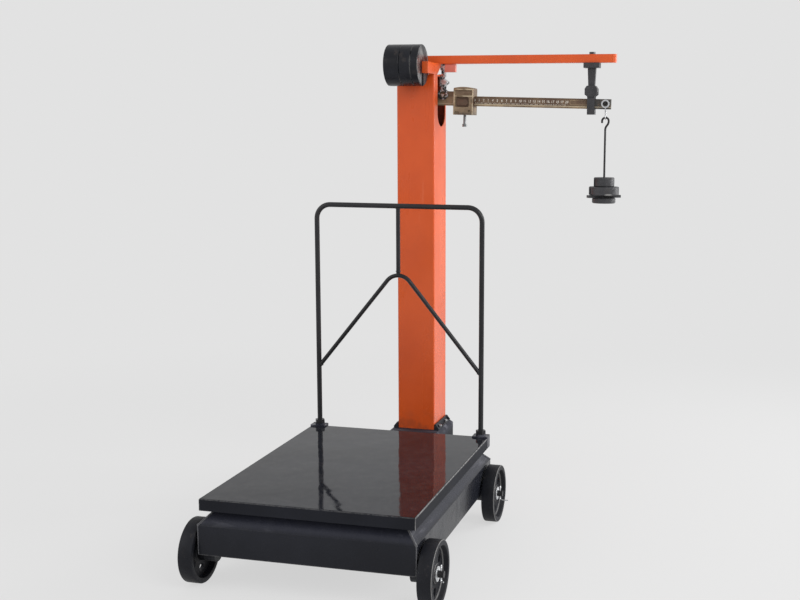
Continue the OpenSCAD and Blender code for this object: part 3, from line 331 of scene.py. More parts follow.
def orange_enamel(name, colour):
    """Orange enamel on steel tube: slight runs, handling marks, scratches and small chips."""
    f = Finish(name)
    cloud = f.noise(7, 4)
    runs = f.noise(14, 3, 0.5, f.stretched(1.0, 1.0, 0.12))
    scratch = f.noise(60, 6, 0.75, f.stretched(1.0, 1.0, 0.04)).above(0.665, 0.70)
    chips = f.noise(170, 5, 0.7).above(0.735, 0.75)
    grain = f.noise(800, 2)
    grime = f.noise(22, 6, 0.65).above(0.55, 0.80)
    foot = 1 - f.z.above(0.158, 0.215)
    deeper = [c * level for c, level in zip(colour, (0.90, 0.84, 0.82))]
    tone = f.mix(cloud.above(0.3, 0.7), colour, deeper)
    tone = f.mix(grime * 0.16, tone, GRIME)
    tone = f.mix(foot * f.noise(45, 5).above(0.40, 0.65) * 0.35, tone, FOOT_DIRT)
    tone = f.mix(scratch * 0.22, tone, SCRATCHED_ORANGE)
    tone = f.mix(chips * 0.8, tone, CHIPPED_ORANGE)
    # Painted shade inside the column
    tone = f.mix(column_inside(f), tone, SHADED_INSIDE_RED)
    rough = 0.26 + runs.above(0.3, 0.7) * 0.10 + grime * 0.15 + scratch * 0.1
    f.set(Base_Color=tone, Roughness=rough, IOR=1.42)
    f.rough_face((runs, 0.0006), (grain, 0.00002), (chips, -0.00010))
    return f.material


def bar_height(f):
    """Height over the fulcrum's edge, measured square to the beam."""
    return f.z - FULCRUM.z + (f.x - FULCRUM.x) * tan(DROOP)


def beam_wear(f):
    """The beam's dark band and top edge, its bright lower edge and its stained tip."""
    height = bar_height(f)
    side = abs(f.y - BEAM_Y)
    band = 1 - side.above(0.0042, 0.0046)
    dark = f.most(band * 0.62, height.above(0.0030, 0.0036) * 0.45)
    bright = f.near(height, -0.0142, 0.0011) * side.above(0.0044, 0.0048)
    return dark, bright, (f.x - FULCRUM.x).above(0.374, 0.380) * 0.95


def poise_wear(f):
    """The poise's dark pockets, its bright rims and its stained lower corners."""
    height = bar_height(f)
    side = abs(f.y - BEAM_Y)
    sunk = 1 - side.above(0.0186, 0.0196)
    pocket = sunk * (1 - height.above(0.0020, 0.0030)) * height.above(-0.0225, -0.0215)
    hollow = sunk * height.above(0.0060, 0.0070) * 0.35
    rim = side.above(0.0210, 0.0214) * f.noise(70, 4).above(0.35, 0.60)
    return f.most(pocket * 0.75, hollow), rim, (1 - height.above(-0.041, -0.030)) * 0.45


def aged_brass(name, colour, patina, wear):
    """Cast brass dressed with a file, browned by handling, dark where sunk and rubbed where proud."""
    f = Finish(name)
    dark, bright, stained = wear(f)
    film = f.noise(28, 6, 0.65)
    spots = f.noise(190, 5, 0.7)
    file_lines = f.noise(90, 5, 0.7, f.stretched(0.06, 1.0, 1.0))
    pits = f.noise(620, 3, 0.6)
    cover = film.above(0.30, 0.66) * 0.72 + spots.above(0.55, 0.75) * 0.28
    tone = f.mix(cover, colour, patina)
    tone = f.mix(file_lines.above(0.52, 0.72) * 0.35, tone, tinted(colour, 1.25))
    tone = f.mix(spots.above(0.62, 0.74) * 0.75, tone, BRASS_SPOT)
    tone = f.mix(dark, tone, SUNK_BRASS)
    tone = f.mix(stained * f.noise(130, 5, 0.7).above(0.34, 0.48), tone, STAINED_BRASS)
    tone = f.mix(bright * 0.8, tone, RUBBED_BRASS)
    f.set(Base_Color=tone, Metallic=0.5 - cover * 0.2, Roughness=0.36 + cover * 0.20 + spots * 0.08)
    f.rough_face((file_lines, 0.00022), (pits, 0.00018))
    return f.material


def cast_iron(name, colour, gloss, sand, wear_and_highlight=None, ior=1.40):
    """Sand-cast iron under a thin coat of paint, bare where it is worn, with bare-iron colour also
    painted as highlights where a mask is given.
    """
    f = Finish(name)
    skin = f.noise(420, 5, 0.65)
    lumps = f.noise(70, 4)
    cloud = f.noise(24, 4)
    tone = f.mix(cloud.above(0.35, 0.70), colour, tinted(colour, 0.66))
    tone = f.mix(skin.above(0.58, 0.74) * 0.7, tone, tinted(colour, 3.0))
    tone = f.mix((1 - skin.above(0.30, 0.42)) * 0.7, tone, tinted(colour, 0.3))
    tone = f.mix(f.noise(46, 6, 0.7).above(0.56, 0.68) * 0.30, tone, RUST_FILM)
    bare_and_highlight = f.noise(260, 5, 0.7).above(0.70, 0.73) * 0.5
    # Bare iron where worn; from the given mask it is painted highlight too, on wheels, weights and
    # the wing bar
    if wear_and_highlight is not None:
        bare_and_highlight = f.most(bare_and_highlight, wear_and_highlight(f) * f.noise(85, 5, 0.7).above(0.18, 0.50))
    tone = f.mix(bare_and_highlight, tone, BARE_IRON_AND_HIGHLIGHT)
    f.set(Base_Color=tone, Metallic=bare_and_highlight * 0.75, Roughness=gloss + cloud * 0.16 - bare_and_highlight * 0.10,
          IOR=ior)
    f.rough_face((lumps, 0.00045), (skin, sand))
    return f.material


def zinc_coat(name, colour):
    """Bright zinc with faint spangle, dulled and lightly stained."""
    f = Finish(name)
    level = f.node("ShaderNodeSeparateXYZ", None, {0: f.cells(340)}, "X")
    stain = f.noise(150, 5, 0.7)
    tone = f.mix(level * 0.5, colour, tinted(colour, 0.72))
    tone = f.mix(stain.above(0.55, 0.75) * 0.55, tone, ZINC_STAIN)
    f.set(Base_Color=tone, Metallic=0.85, Roughness=0.30 + stain * 0.22 + level * 0.05)
    f.rough_face((f.noise(500, 4), 0.00006), (level, 0.00001))
    return f.material


def greasy_steel(colour):
    """Bright steel under streaks of black grease, on the hooks and eyes that the beam hangs from."""
    f = Finish("greasy_steel")
    grease = f.noise(95, 4, 0.6).above(0.46, 0.53)
    shine = f.noise(230, 5, 0.7)
    f.set(Base_Color=f.mix(grease, colour, GREASE), Metallic=0.9 - grease * 0.75,
          Roughness=0.22 + shine * 0.2 + grease * 0.12)
    f.rough_face((shine, 0.00012), (grease, 0.0002))
    return f.material


def ground_steel(colour):
    """Hardened steel with grinding lines across the edge and a trace of oil stain."""
    f = Finish("ground_steel")
    lines = f.noise(300, 4, 0.7, f.stretched(0.08, 1.0, 1.0))
    stain = f.noise(90, 5, 0.6)
    tone = f.mix(stain.above(0.45, 0.75) * 0.6, colour, OIL_STAIN)
    f.set(Base_Color=tone, Metallic=0.92, Roughness=0.24 + lines * 0.16 + stain * 0.12)
    f.rough_face((lines, 0.00006))
    return f.material


def mark_paint():
    """Pale paint wiped into the marks, rubbed away in places."""
    f = Finish("mark_paint")
    rub = f.noise(240, 5, 0.7).above(0.46, 0.66)
    f.set(Base_Color=f.mix(rub, (0.78, 0.74, 0.66), (0.36, 0.28, 0.20)), Roughness=0.55 + rub * 0.15)
    f.rough_face((f.noise(900, 3), 0.00004))
    return f.material


def lead_plug():
    """Soft grey lead, hammered into the adjusting hole of a weight."""
    f = Finish("lead_plug")
    dent = f.noise(330, 4)
    tone = f.mix(dent.above(0.4, 0.7), (0.19, 0.19, 0.20), (0.10, 0.10, 0.105))
    f.set(Base_Color=tone, Metallic=0.55, Roughness=0.5 + dent * 0.15)
    f.rough_face((dent, 0.0003))
    return f.material


def worn_wheel(f):
    """Thin pale lines: bare metal along the rim's two corners and on the hub, standing in for their
    highlights too, and a painted highlight where the web ends.
    """
    y = abs(f.y - MIDDLE.y) - AXLE_Y * MM
    r = (y ** 2 + (f.z - AXLE_Z * MM) ** 2) ** 0.5
    side = abs(f.x - MIDDLE.x) - WHEEL_X * MM
    corner = f.near(r, 0.0656, 0.0011) * side.above(0.0132, 0.0142) * 0.6
    # Painted highlight along the fillet where the web ends
    lip_highlight = f.near(r, 0.0531, 0.0017) * f.near(side, 0.0042, 0.0022) * 0.45
    hub = f.near(r, 0.0194, 0.0009) * side.above(0.0058, 0.0066) * 0.5
    return f.most(f.most(corner, lip_highlight), hub)


def worn_frame(f):
    """The frame's lower edge."""
    return f.near(f.z, 0.0745, 0.0016) * 0.35


def lit_frame(f):
    """Painted sheen on the frame's sloped shoulders, with long streaks of painted highlight, and a
    little painted sheen on its walls.
    """
    shoulder = f.z.above(0.134, 0.142)
    long_x = f.noise(34, 4, 0.55, f.stretched(0.14, 1.0, 1.0))
    long_y = f.noise(34, 4, 0.55, f.stretched(1.0, 0.14, 1.0))
    flank = abs(f.x - MIDDLE.x).above(0.195, 0.200)
    streaks = long_x * (1 - flank) + long_y * flank
    sheen = f.z.above(0.085, 0.150) * 0.05 + shoulder * 0.31
    return sheen, streaks.above(0.56, 0.70) * shoulder * 0.5


def dull_seat(f):
    """Duller paint on the column's seat, behind the platform."""
    return (f.y - MIDDLE.y).above(0.303, 0.306) * 0.4


def dull_skirt(f):
    """Duller paint on the platform's folded skirt."""
    return (1 - f.z.above(0.1870, 0.1892)) * 0.6


def worn_deck(f):
    """A thin pale line along the folds of the long sides and on the corners, a trace at the ends:
    rubbed paint that also stands in for the folds' highlight.
    """
    x = abs(f.x - MIDDLE.x)
    y = abs(f.y - MIDDLE.y)
    fold = f.most(f.near(x, 0.2243, 0.0011), f.near(y, 0.2993, 0.0009) * 0.25)
    corner = f.near(x, 0.2250, 0.0018) * f.near(y, 0.3000, 0.0018)
    return f.most(fold * f.z.above(0.1868, 0.1882), corner)


def worn_wing(f):
    """Painted highlight in bare-iron colour on the counterpoise's wing bar, beside the rod."""
    return f.near(f.x, FULCRUM.x + 0.420, 0.011) * f.near(f.z, 0.7613, 0.004)


def worn_weights(f):
    """Pale lines on the stored weights' edges: worn iron that also stands in for the edges'
    highlights.
    """
    wear = 0
    for number in (1, 2, 3):
        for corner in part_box("stored_weight_%d" % number):
            wear = f.most(wear, f.near(f.x, corner.x, 0.0014))
    return wear * f.noise(30, 3).above(0.42, 0.62) * 0.5


class Finishes:
    """The scale's materials, made once and shared by its pieces."""

    def __init__(self, colours):
        black, iron, zinc = tuple(colours.black), tuple(colours.iron), tuple(colours.zinc)
        brass, patina = tuple(colours.brass), tuple(colours.patina)
        self.frame_black = black_enamel("frame_enamel", black, gloss=0.20, wave=0.0012, ior=1.265,
                                        wear_and_highlight=worn_frame, lit=lit_frame, dull=dull_seat)
        # The deck's pale fold lines are rubbed paint and painted highlight
        self.deck_black = black_enamel("deck_enamel", black, gloss=0.040, wave=0.0016, ior=1.22,
                                       peel=0.000005, swirl=5, wear_and_highlight=worn_deck, dull=dull_skirt)
        self.guard_black = black_enamel("guard_enamel", (0.022, 0.022, 0.024), gloss=0.22,
                                        wave=0.0004, ior=1.30)
        # Paler enamel of the corner welds: painted highlight along the frame's corners
        self.weld_black = black_enamel("weld_highlight_enamel", (0.115, 0.115, 0.125), gloss=0.26,
                                       wave=0.0004, ior=1.40, peel=0.00004)
        self.orange = orange_enamel("orange_enamel", tuple(colours.orange))
        # A paler copy of the orange enamel: painted highlight on the hanger lug
        self.faded = orange_enamel("lit_orange_enamel", (0.62, 0.175, 0.130))
        self.beam_brass = aged_brass("beam_brass", brass, patina, beam_wear)
        self.poise_brass = aged_brass("poise_brass", brass, patina, poise_wear)
        # The wing bar's bright patch is a painted highlight
        self.iron = cast_iron("weight_iron", iron, gloss=0.36, sand=0.00022, wear_and_highlight=worn_wing)
        self.bracket_iron = cast_iron("bracket_iron", (0.037, 0.036, 0.040), gloss=0.36, sand=0.00040)
        self.rod_iron = cast_iron("rod_iron", tinted(iron, 0.4), gloss=0.40, sand=0.00010)
        # The stored weights' pale edges are wear and painted highlight
        self.weight_black = cast_iron("weight_enamel", tinted(black, 0.8), gloss=0.20, sand=0.00004,
                                      wear_and_highlight=worn_weights, ior=1.30)
        self.lever_iron = cast_iron("lever_iron", tinted(black, 1.2), gloss=0.46, sand=0.00025)
        # The wheel's pale lines are bare metal and painted highlights
        self.wheel = cast_iron("wheel_iron", tinted(black, 0.75), gloss=0.44, sand=0.00020,
                               wear_and_highlight=worn_wheel, ior=1.27)
        self.zinc = zinc_coat("zinc_coat", zinc)
        self.bright_zinc = zinc_coat("bright_zinc", tinted(zinc, 1.55))
        self.dull_zinc = zinc_coat("dull_zinc", tinted(zinc, 0.42))
        self.steel = ground_steel(tuple(colours.steel))
        self.greasy = greasy_steel(tinted(zinc, 1.1))
        self.marks = mark_paint()
        self.lead = lead_plug()


finishes = None


def workshop(context):
    """The sizes, and the finishes, which are made the first time they are asked for."""
    global finishes
    if finishes is None:
        finishes = Finishes(context.scene.scale_colours)
    return context.scene.scale_sizes, finishes


# Modelling by hand

def only(*pieces):
    """Selects the pieces and nothing else; the first is active."""
    if bpy.context.object and bpy.context.object.mode != "OBJECT":
        bpy.ops.object.mode_set(mode="OBJECT")
    bpy.ops.object.select_all(action="DESELECT")
    for piece in pieces:
        piece.select_set(True)
    bpy.context.view_layer.objects.active = pieces[0] if pieces else None


def settle():
    """Leaves edit mode and writes the active piece's place, turn and scale into its mesh."""
    if bpy.context.object.mode != "OBJECT":
        bpy.ops.object.mode_set(mode="OBJECT")
    bpy.ops.object.transform_apply(location=True, rotation=True, scale=True)
    return bpy.context.object


def block(a, b):
    """A box between two opposite corners."""
    only()
    bpy.ops.mesh.primitive_cube_add(size=1, location=(a + b) / 2)
    bpy.context.object.scale = [abs(length) for length in b - a]
    return settle()


def turn_to(along):
    """The turn that lays the Z axis along a direction."""
    return Vector((0, 0, 1)).rotation_difference(along).to_euler()


def rod(start, end, radius, steps=32):
    """A round bar from one point to another."""
    only()
    along = end - start
    bpy.ops.mesh.primitive_cylinder_add(vertices=steps, radius=radius, depth=along.length,
                                        location=(start + end) / 2, rotation=turn_to(along))
    return settle()


def chain(points):
    """Draws edges from point to point and stays in edit mode with them all selected."""
    only()
    bpy.ops.mesh.primitive_plane_add(size=MM, location=points[0])
    bpy.ops.object.mode_set(mode="EDIT")
    bpy.ops.mesh.merge(type="CENTER")
    for here, there in zip(points, points[1:]):
        bpy.ops.mesh.extrude_region_move(TRANSFORM_OT_translate={"value": there - here})
    bpy.ops.mesh.select_all(action="SELECT")


def outward():
    """In edit mode: joins doubled points and turns all faces outwards."""
    bpy.ops.mesh.select_all(action="SELECT")
    bpy.ops.mesh.remove_doubles(threshold=0.01 * MM)
    bpy.ops.mesh.normals_make_consistent(inside=False)


def wire(points, radius):
    """A round wire bent through the points, with closed ends."""
    chain(points)
    settle()
    bpy.ops.object.convert(target="CURVE")
    line = bpy.context.object
    line.data.bevel_depth = radius
    line.data.bevel_resolution = 3
    line.data.use_fill_caps = True
    bpy.ops.object.convert(target="MESH")
    bpy.ops.object.mode_set(mode="EDIT")
    outward()
    return settle()


def turned(points, centre, axis, steps):
    """A closed outline spun once round an axis."""
    chain(points + [points[0]])
    bpy.ops.mesh.spin(steps=steps, angle=2 * pi, center=centre, axis=axis)
    outward()
    return settle()


def prism(points, along):
    """A flat outline filled and drawn out along a direction."""
    chain(points)
    bpy.ops.mesh.edge_face_add()
    bpy.ops.mesh.extrude_region_move(TRANSFORM_OT_translate={"value": along})
    outward()
    return settle()


def modify(piece, kind, **settings):
    """Adds a modifier with its settings and applies it."""
    only(piece)
    bpy.ops.object.modifier_add(type=kind)
    modifier = piece.modifiers[-1]
    for key, value in settings.items():
        setattr(modifier, key, value)
    bpy.ops.object.modifier_apply(modifier=modifier.name)
    return piece


def row(piece, count, step):
    """Repeats the piece along a step."""
    return modify(piece, "ARRAY", count=count, use_relative_offset=False, use_constant_offset=True,
                  constant_offset_displace=step)


def soften(piece, width, segments=2, angle=35):
    """Rounds the piece's sharp edges."""
    return modify(piece, "BEVEL", width=width, segments=segments, limit_method="ANGLE",
                  angle_limit=radians(angle), harden_normals=False)


def cut(piece, *cutters):
    """Takes each cutter's shape out of the piece."""
    for cutter in cutters:
        modify(piece, "BOOLEAN", operation="DIFFERENCE", object=cutter, solver="EXACT")
        bpy.data.objects.remove(cutter)
    return piece


def fuse(*pieces):
    """Makes one object of several."""
    only(*pieces)
    bpy.ops.object.join()
    return settle()


def moved(piece, matrix):
    """Moves the piece itself, mesh and all."""
    only(piece)
    piece.matrix_world = matrix @ piece.matrix_world
    return settle()


def copied(piece, matrix):
    """A copy with its own mesh, moved by the matrix."""
    only(piece)
    bpy.ops.object.duplicate(linked=False)
    return moved(bpy.context.object, matrix)


def finish_piece(piece, name, body, material, slot, *nodes):
    """Names the piece, gives it its finish and its body, and hides the nodes it stands for."""
    only(piece)
    bpy.ops.object.shade_smooth_by_angle(angle=radians(32))
    piece.name = name
    piece.data.name = name
    piece.data.materials.clear()
    piece.data.materials.append(material)
    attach(piece, body)
    if nodes:
        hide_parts(*nodes)
    return piece


def dress(material, width, *nodes, segments=2):
    """Gives nodes of the frame their material and, over their own meshes, softened edges."""
    for node in nodes:
        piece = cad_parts[node]
        piece.data.materials.clear()
        piece.data.materials.append(material)
        if width:
            weld = piece.modifiers.new("Weld", "WELD")
            weld.merge_threshold = 0.005 * MM
            edge = piece.modifiers.new("Soft edge", "BEVEL")
            edge.width = width
            edge.segments = segments
            edge.limit_method = "ANGLE"
            edge.angle_limit = radians(35)
            edge.loop_slide = False
            shade = piece.modifiers.new("Shading", "WEIGHTED_NORMAL")
            shade.keep_sharp = False


def ball(radius, spot):
    """A small ball that a weld's ripples are made of."""
    only()
    bpy.ops.mesh.primitive_uv_sphere_add(segments=12, ring_count=6, radius=radius, location=spot)
    return bpy.context.object


def bead(start, end, radius, pitch=1.05):
    """A weld bead of overlapping ripples from one point to another."""
    along = end - start
    ripple = ball(radius, (0, 0, 0))
    ripple.scale = (1, 1, 0.62)
    settle()
    count = max(2, round(along.length / (pitch * radius)))
    row(ripple, count, (0, 0, along.length / count))
    ripple.rotation_euler = turn_to(along)
    ripple.location = start
    return settle()


def ring_bead(centre, axis, ring, radius, steps=28):
    """A weld bead round a bar."""
    ball(radius, centre + axis.orthogonal().normalized() * ring)
    bpy.ops.object.mode_set(mode="EDIT")
    bpy.ops.mesh.spin(steps=steps, angle=2 * pi, dupli=True, center=centre, axis=axis)
    bpy.ops.mesh.select_all(action="SELECT")
    return settle()


# Pieces

class SCALE_OT_wheels(bpy.types.Operator):
    """Cast wheels with filleted webs, round holes and a hub that reaches in to the bracket"""
    bl_idname = "scale.wheels"
    bl_label = "Wheels"

    # Radius and distance from the wheel's middle plane, from the hub's bore out to the rim
    OUTER = [(7.1, 7), (18.6, 7), (19.7, 6.2), (20.5, 4.6), (22.0, 3.3), (25, 2.7), (49.6, 2.5),
             (52.2, 3.3), (53.9, 5.4), (55.0, 13.4), (55.8, 14.6), (57.0, 15), (64.6, 15),
             (65.9, 14.4), (66.5, 13.2)]
    INNER_HUB = [(20, -14), (20, -18.6), (19, -19.7), (7.1, -19.7)]
    HOLES, HOLE_RING, HOLE_RADIUS = 6, 38, 8.5

    def execute(self, context):
        sizes, f = workshop(context)
        outline = self.OUTER + [(r, -x) for r, x in reversed(self.OUTER[3:])] + self.INNER_HUB
        wheel = turned([mm(x, 0, r) for r, x in outline], (0, 0, 0), (1, 0, 0), sizes.wheel_steps)
        reach = mm(20, 0, 0)
        holes = []
        for index in range(self.HOLES):
            a = 2 * pi * index / self.HOLES
            hole = mm(0, -sin(a), cos(a)) * self.HOLE_RING
            holes.append(rod(hole - reach, hole + reach, self.HOLE_RADIUS * MM, 28))
        cut(wheel, *holes)
        soften(wheel, sizes.wheel_fillet, 2, 60)
        for name, side, end in (("front_left", -1, -1), ("front_right", 1, -1),
                                ("rear_left", -1, 1), ("rear_right", 1, 1)):
            node = "wheel_" + name
            hub = Matrix.Translation(place(side * WHEEL_X, end * AXLE_Y, AXLE_Z))
            turn = hub @ Matrix.Rotation(0 if side > 0 else pi, 4, "Z")
            finish_piece(copied(wheel, turn), "cast_" + node, node, f.wheel, "wheel_iron", node)
        bpy.data.objects.remove(wheel)
        return {"FINISHED"}


class SCALE_OT_running_gear(bpy.types.Operator):
    """Axles, brackets, washers and cotter pins"""
    bl_idname = "scale.running_gear"
    bl_label = "Running gear"

    # The eye's radius and height, the legs' length, and how far each pin's tail reaches out
    COTTER_X, EYE, EYE_Z, LEG = 263.8, 3, 15, 12
    TAILS = {(-1, -1): 4.5, (-1, 1): 4.5, (1, -1): 7, (1, 1): 21}

    def execute(self, context):
        sizes, f = workshop(context)
        dress(f.rod_iron, sizes.small_edge, "front_axle", "rear_axle")
        dress(f.lever_iron, sizes.cast_edge, "axle_brackets")
        dress(f.bright_zinc, sizes.small_edge, "wheel_washers")
        pins = []
        for side in SIDES:
            for end in SIDES:
                middle = place(side * self.COTTER_X, end * AXLE_Y, AXLE_Z)
                for leg, radius in ((self.curled_leg(side, end), 1.25), (self.short_leg(side), 1.1)):
                    pins.append(wire([middle + point for point in leg], radius * MM))
        finish_piece(fuse(*pins), "cotter_wires", "frame", f.bright_zinc, "zinc", "cotter_pins")
        return {"FINISHED"}

    def curled_leg(self, side, end):
        """The eye over the axle, the leg through it and its tail, bent away from the wheel."""
        points = []
        for index in range(13):
            a = 2 * pi * index / 12
            points.append(mm(0, self.EYE * sin(a), self.EYE_Z - self.EYE * cos(a)))
        points.append(mm(0, 0, -self.LEG))
        for index in range(1, 9):
            a = pi * index / 16
            points.append(mm(side * self.TAILS[side, end] * (1 - cos(a)), -3 - 4 * sin(a),
                             -self.LEG - 3 * sin(a) + 2 * (1 - cos(a))))
        return points

    def short_leg(self, side):
        """The leg beside it, bent up a little at its end."""
        return [mm(-0.6 * side, 0, self.LEG), mm(-0.6 * side, 0, -self.LEG),
                mm(-0.6 * side, 2.5, -14), mm(-0.3 * side, 5.5, -14.5)]


class SCALE_OT_frame(bpy.types.Operator):
    """Enamelled base frame with weld beads along its corners and at the column's seat"""
    bl_idname = "scale.frame"
    bl_label = "Base frame"

    # A corner weld's foot, bend and top, and the two ends of a seat weld
    CORNER = ((227.2, 302.2, 76), (227.2, 302.2, 135), (198, 273, 164.2))
    SEAT = ((66, 305, 80), (66, 305, 133))

    def execute(self, context):
        sizes, f = workshop(context)
        dress(f.frame_black, sizes.plate_edge, "base_frame", segments=3)
        dress(f.steel, sizes.small_edge, "fulcrum_bearings")
        r = sizes.bead_radius
        corners = []
        for sx in SIDES:
            for sy in SIDES:
                foot, crest, top = [place(sx * x, sy * y, z) for x, y, z in self.CORNER]
                corners += [bead(crest, top, 1.4 * r), bead(foot, crest, 0.8 * r)]
        # The corner welds' paler enamel is a painted highlight
        finish_piece(fuse(*corners), "corner_welds", "frame", f.weld_black, "black_paint")
        seat = [bead(*[place(sx * x, y, z) for x, y, z in self.SEAT], r) for sx in SIDES]
        finish_piece(fuse(*seat), "seat_welds", "frame", f.frame_black, "black_paint")
        return {"FINISHED"}


class SCALE_OT_platform(bpy.types.Operator):
    """Folded platform plate with its ribs and feet"""
    bl_idname = "scale.platform"
    bl_label = "Platform"

    def execute(self, context):
        sizes, f = workshop(context)
        dress(f.deck_black, 0.5 * sizes.plate_edge, "deck")
        dress(f.frame_black, sizes.plate_edge, "deck_ribs")
        dress(f.steel, sizes.small_edge, "deck_feet")
        return {"FINISHED"}


class SCALE_OT_guard(bpy.types.Operator):
    """Bent guard rail in its sockets, with weld beads where the bars meet"""
    bl_idname = "scale.guard"
    bl_label = "Guard rail"

    POST_X, RAIL_Y = 205, 300
    BRACE_SLOPE = radians(51)
    BRACE_Z, PEAK_Z, RAIL_Z = 339, 581, 731.1

    def execute(self, context):
        sizes, f = workshop(context)
        dress(f.guard_black, 0, "guard_frame", "guard_center_bar", "guard_brace")
        dress(f.frame_black, sizes.plate_edge, "guard_sockets")
        dress(f.guard_black, sizes.small_edge, "guard_nuts")
        dress(f.zinc, sizes.small_edge, "guard_bolts")
        up = Vector((0, 0, 1))
        joints = []
        for side in SIDES:
            brace = Vector((-side * cos(self.BRACE_SLOPE), 0, sin(self.BRACE_SLOPE)))
            foot = place(side * self.POST_X, self.RAIL_Y, self.BRACE_Z)
            joints.append((foot + brace * 8.4 * MM, brace))
        joints += [(place(0, self.RAIL_Y, z), up) for z in (self.RAIL_Z, self.PEAK_Z)]
        beads = [ring_bead(centre, axis, 4.9 * MM, 1.5 * MM) for centre, axis in joints]
        finish_piece(fuse(*beads), "guard_welds", "platform", f.guard_black, "black_paint")
        return {"FINISHED"}


class SCALE_OT_column(bpy.types.Operator):
    """Enamelled column on its angle irons, with its cap and foot bolts"""
    bl_idname = "scale.column"
    bl_label = "Column"

    def execute(self, context):
        sizes, f = workshop(context)
        dress(f.orange, 0.6 * sizes.plate_edge, "column")
        dress(f.orange, sizes.plate_edge, "column_cap")
        dress(f.lever_iron, 0.6 * sizes.plate_edge, "column_angles")
        dress(f.zinc, sizes.small_edge, "column_bolts")
        return {"FINISHED"}


class SCALE_OT_arm(bpy.types.Operator):
    """Square arm with its rounded end, the rack bar, the peg and the welds under them"""
    bl_idname = "scale.arm"
    bl_label = "Arm"

    # Each weld's start and end across, how far back it lies and its height
    WELDS = ((60, 78, 497.6, 1075.4), (-30, -10, 493.4, 1075.4), (44, 56, 497, 1049.6))

    def execute(self, context):
        sizes, f = workshop(context)
        dress(f.orange, sizes.plate_edge, "arm", "arm_saddle", "rack_bar")
        # The lug's paler orange is a painted highlight
        dress(f.faded, sizes.plate_edge, "hanger_lug")
        dress(f.orange, 2 * sizes.plate_edge, "arm_end_cap", segments=3)
        dress(f.weight_black, sizes.small_edge, "weight_peg")
        dress(f.zinc, sizes.small_edge, "hanger_bolt")
        r = 0.7 * sizes.bead_radius
        beads = [bead(place(x0, y, z), place(x1, y, z), r) for x0, x1, y, z in self.WELDS]
        finish_piece(fuse(*beads), "arm_welds", "frame", f.orange, "orange_paint")
        return {"FINISHED"}


class SCALE_OT_suspension(bpy.types.Operator):
    """Strap and stirrup of the fulcrum, and the bracket that stops the beam"""
    bl_idname = "scale.suspension"
    bl_label = "Suspension and stop"

    def execute(self, context):
        sizes, f = workshop(context)
        dress(f.greasy, sizes.small_edge, "fulcrum_strap", "fulcrum_stirrup")
        dress(f.bracket_iron, sizes.plate_edge, "stop_bracket")
        dress(f.bracket_iron, sizes.small_edge, "stop_bolt")
        return {"FINISHED"}


class SCALE_OT_beam(bpy.types.Operator):
    """Steelyard beam with its knives, painted marks and plain numerals"""
    bl_idname = "scale.beam"
    bl_label = "Beam"

    # Along the beam from the fulcrum, up from its edge, and out from the beam's middle
    FIRST_MARK, MARK_FOOT, NUMERAL_FOOT = 80.5, -12.6, -6.7
    MARKS, MARK_WIDTH, PAINT = 100, 0.5, 0.35
    FACE = 4.0
    MARK_HEIGHTS = ((1, 2.6), (5, 3.8), (10, 5.0))
    PANEL, PANEL_RIM = ((318, -0.6, -11), (362, 0.6, 1)), 1.4

    def execute(self, context):
        sizes, f = workshop(context)
        dress(f.beam_brass, 0.7 * sizes.plate_edge, "beam")
        dress(f.steel, 0.5 * sizes.small_edge, "fulcrum_knife", "load_knife", "balance_stud")
        dress(f.rod_iron, 0.5 * sizes.small_edge, "tip_knife")
        dress(f.poise_brass, sizes.small_edge, "balance_ball")
        marks = [mark for side in SIDES for mark in self.marks(side, sizes)]
        finish_piece(moved(fuse(*marks), LEVEL), "beam_marks", "beam", f.marks, "brass")
        panels = [self.panel(side) for side in SIDES]
        finish_piece(moved(fuse(*panels), LEVEL), "beam_panels", "beam", f.beam_brass, "brass")
        return {"FINISHED"}

    def marks(self, side, sizes):
        """Three lengths of marks and a number at every fifth, on one face."""
        half = self.MARK_WIDTH / 2
        pieces = []
        for step, height in self.MARK_HEIGHTS:
            mark = block(mm(self.FIRST_MARK - half, side * self.FACE, self.MARK_FOOT),
                         mm(self.FIRST_MARK + half, side * (self.FACE + self.PAINT),
                            self.MARK_FOOT + height))
            pieces.append(row(mark, self.MARKS // step + 1, (step * sizes.mark_pitch, 0, 0)))
        for number in range(self.MARKS // 5 + 1):
            only()
            foot = mm(self.FIRST_MARK, side * (self.FACE - 0.02), self.NUMERAL_FOOT)
            foot.x += 5 * number * sizes.mark_pitch
            bpy.ops.object.text_add(location=foot)
            text = bpy.context.object
            text.data.body = str(number)
            text.data.size = sizes.mark_height * 1.25
            text.data.extrude = 0.5 * self.PAINT * MM
            text.data.align_x = "CENTER"
            text.rotation_euler = (pi / 2, 0, 0 if side < 0 else pi)
            bpy.ops.object.convert(target="MESH")
            pieces.append(settle())
        return pieces

    def panel(self, side):
        """A blank raised frame with round corners."""
        face = side * self.FACE * MM
        low, high = [Vector((x * MM, face + y * MM, z * MM)) for x, y, z in self.PANEL]
        inset = mm(self.PANEL_RIM, -1, self.PANEL_RIM)
        outer = soften(block(low, high), 3 * MM, 4, 60)
        inner = soften(block(low + inset, high - inset), 2 * MM, 3, 60)
        return soften(cut(outer, inner), 0.25 * MM)


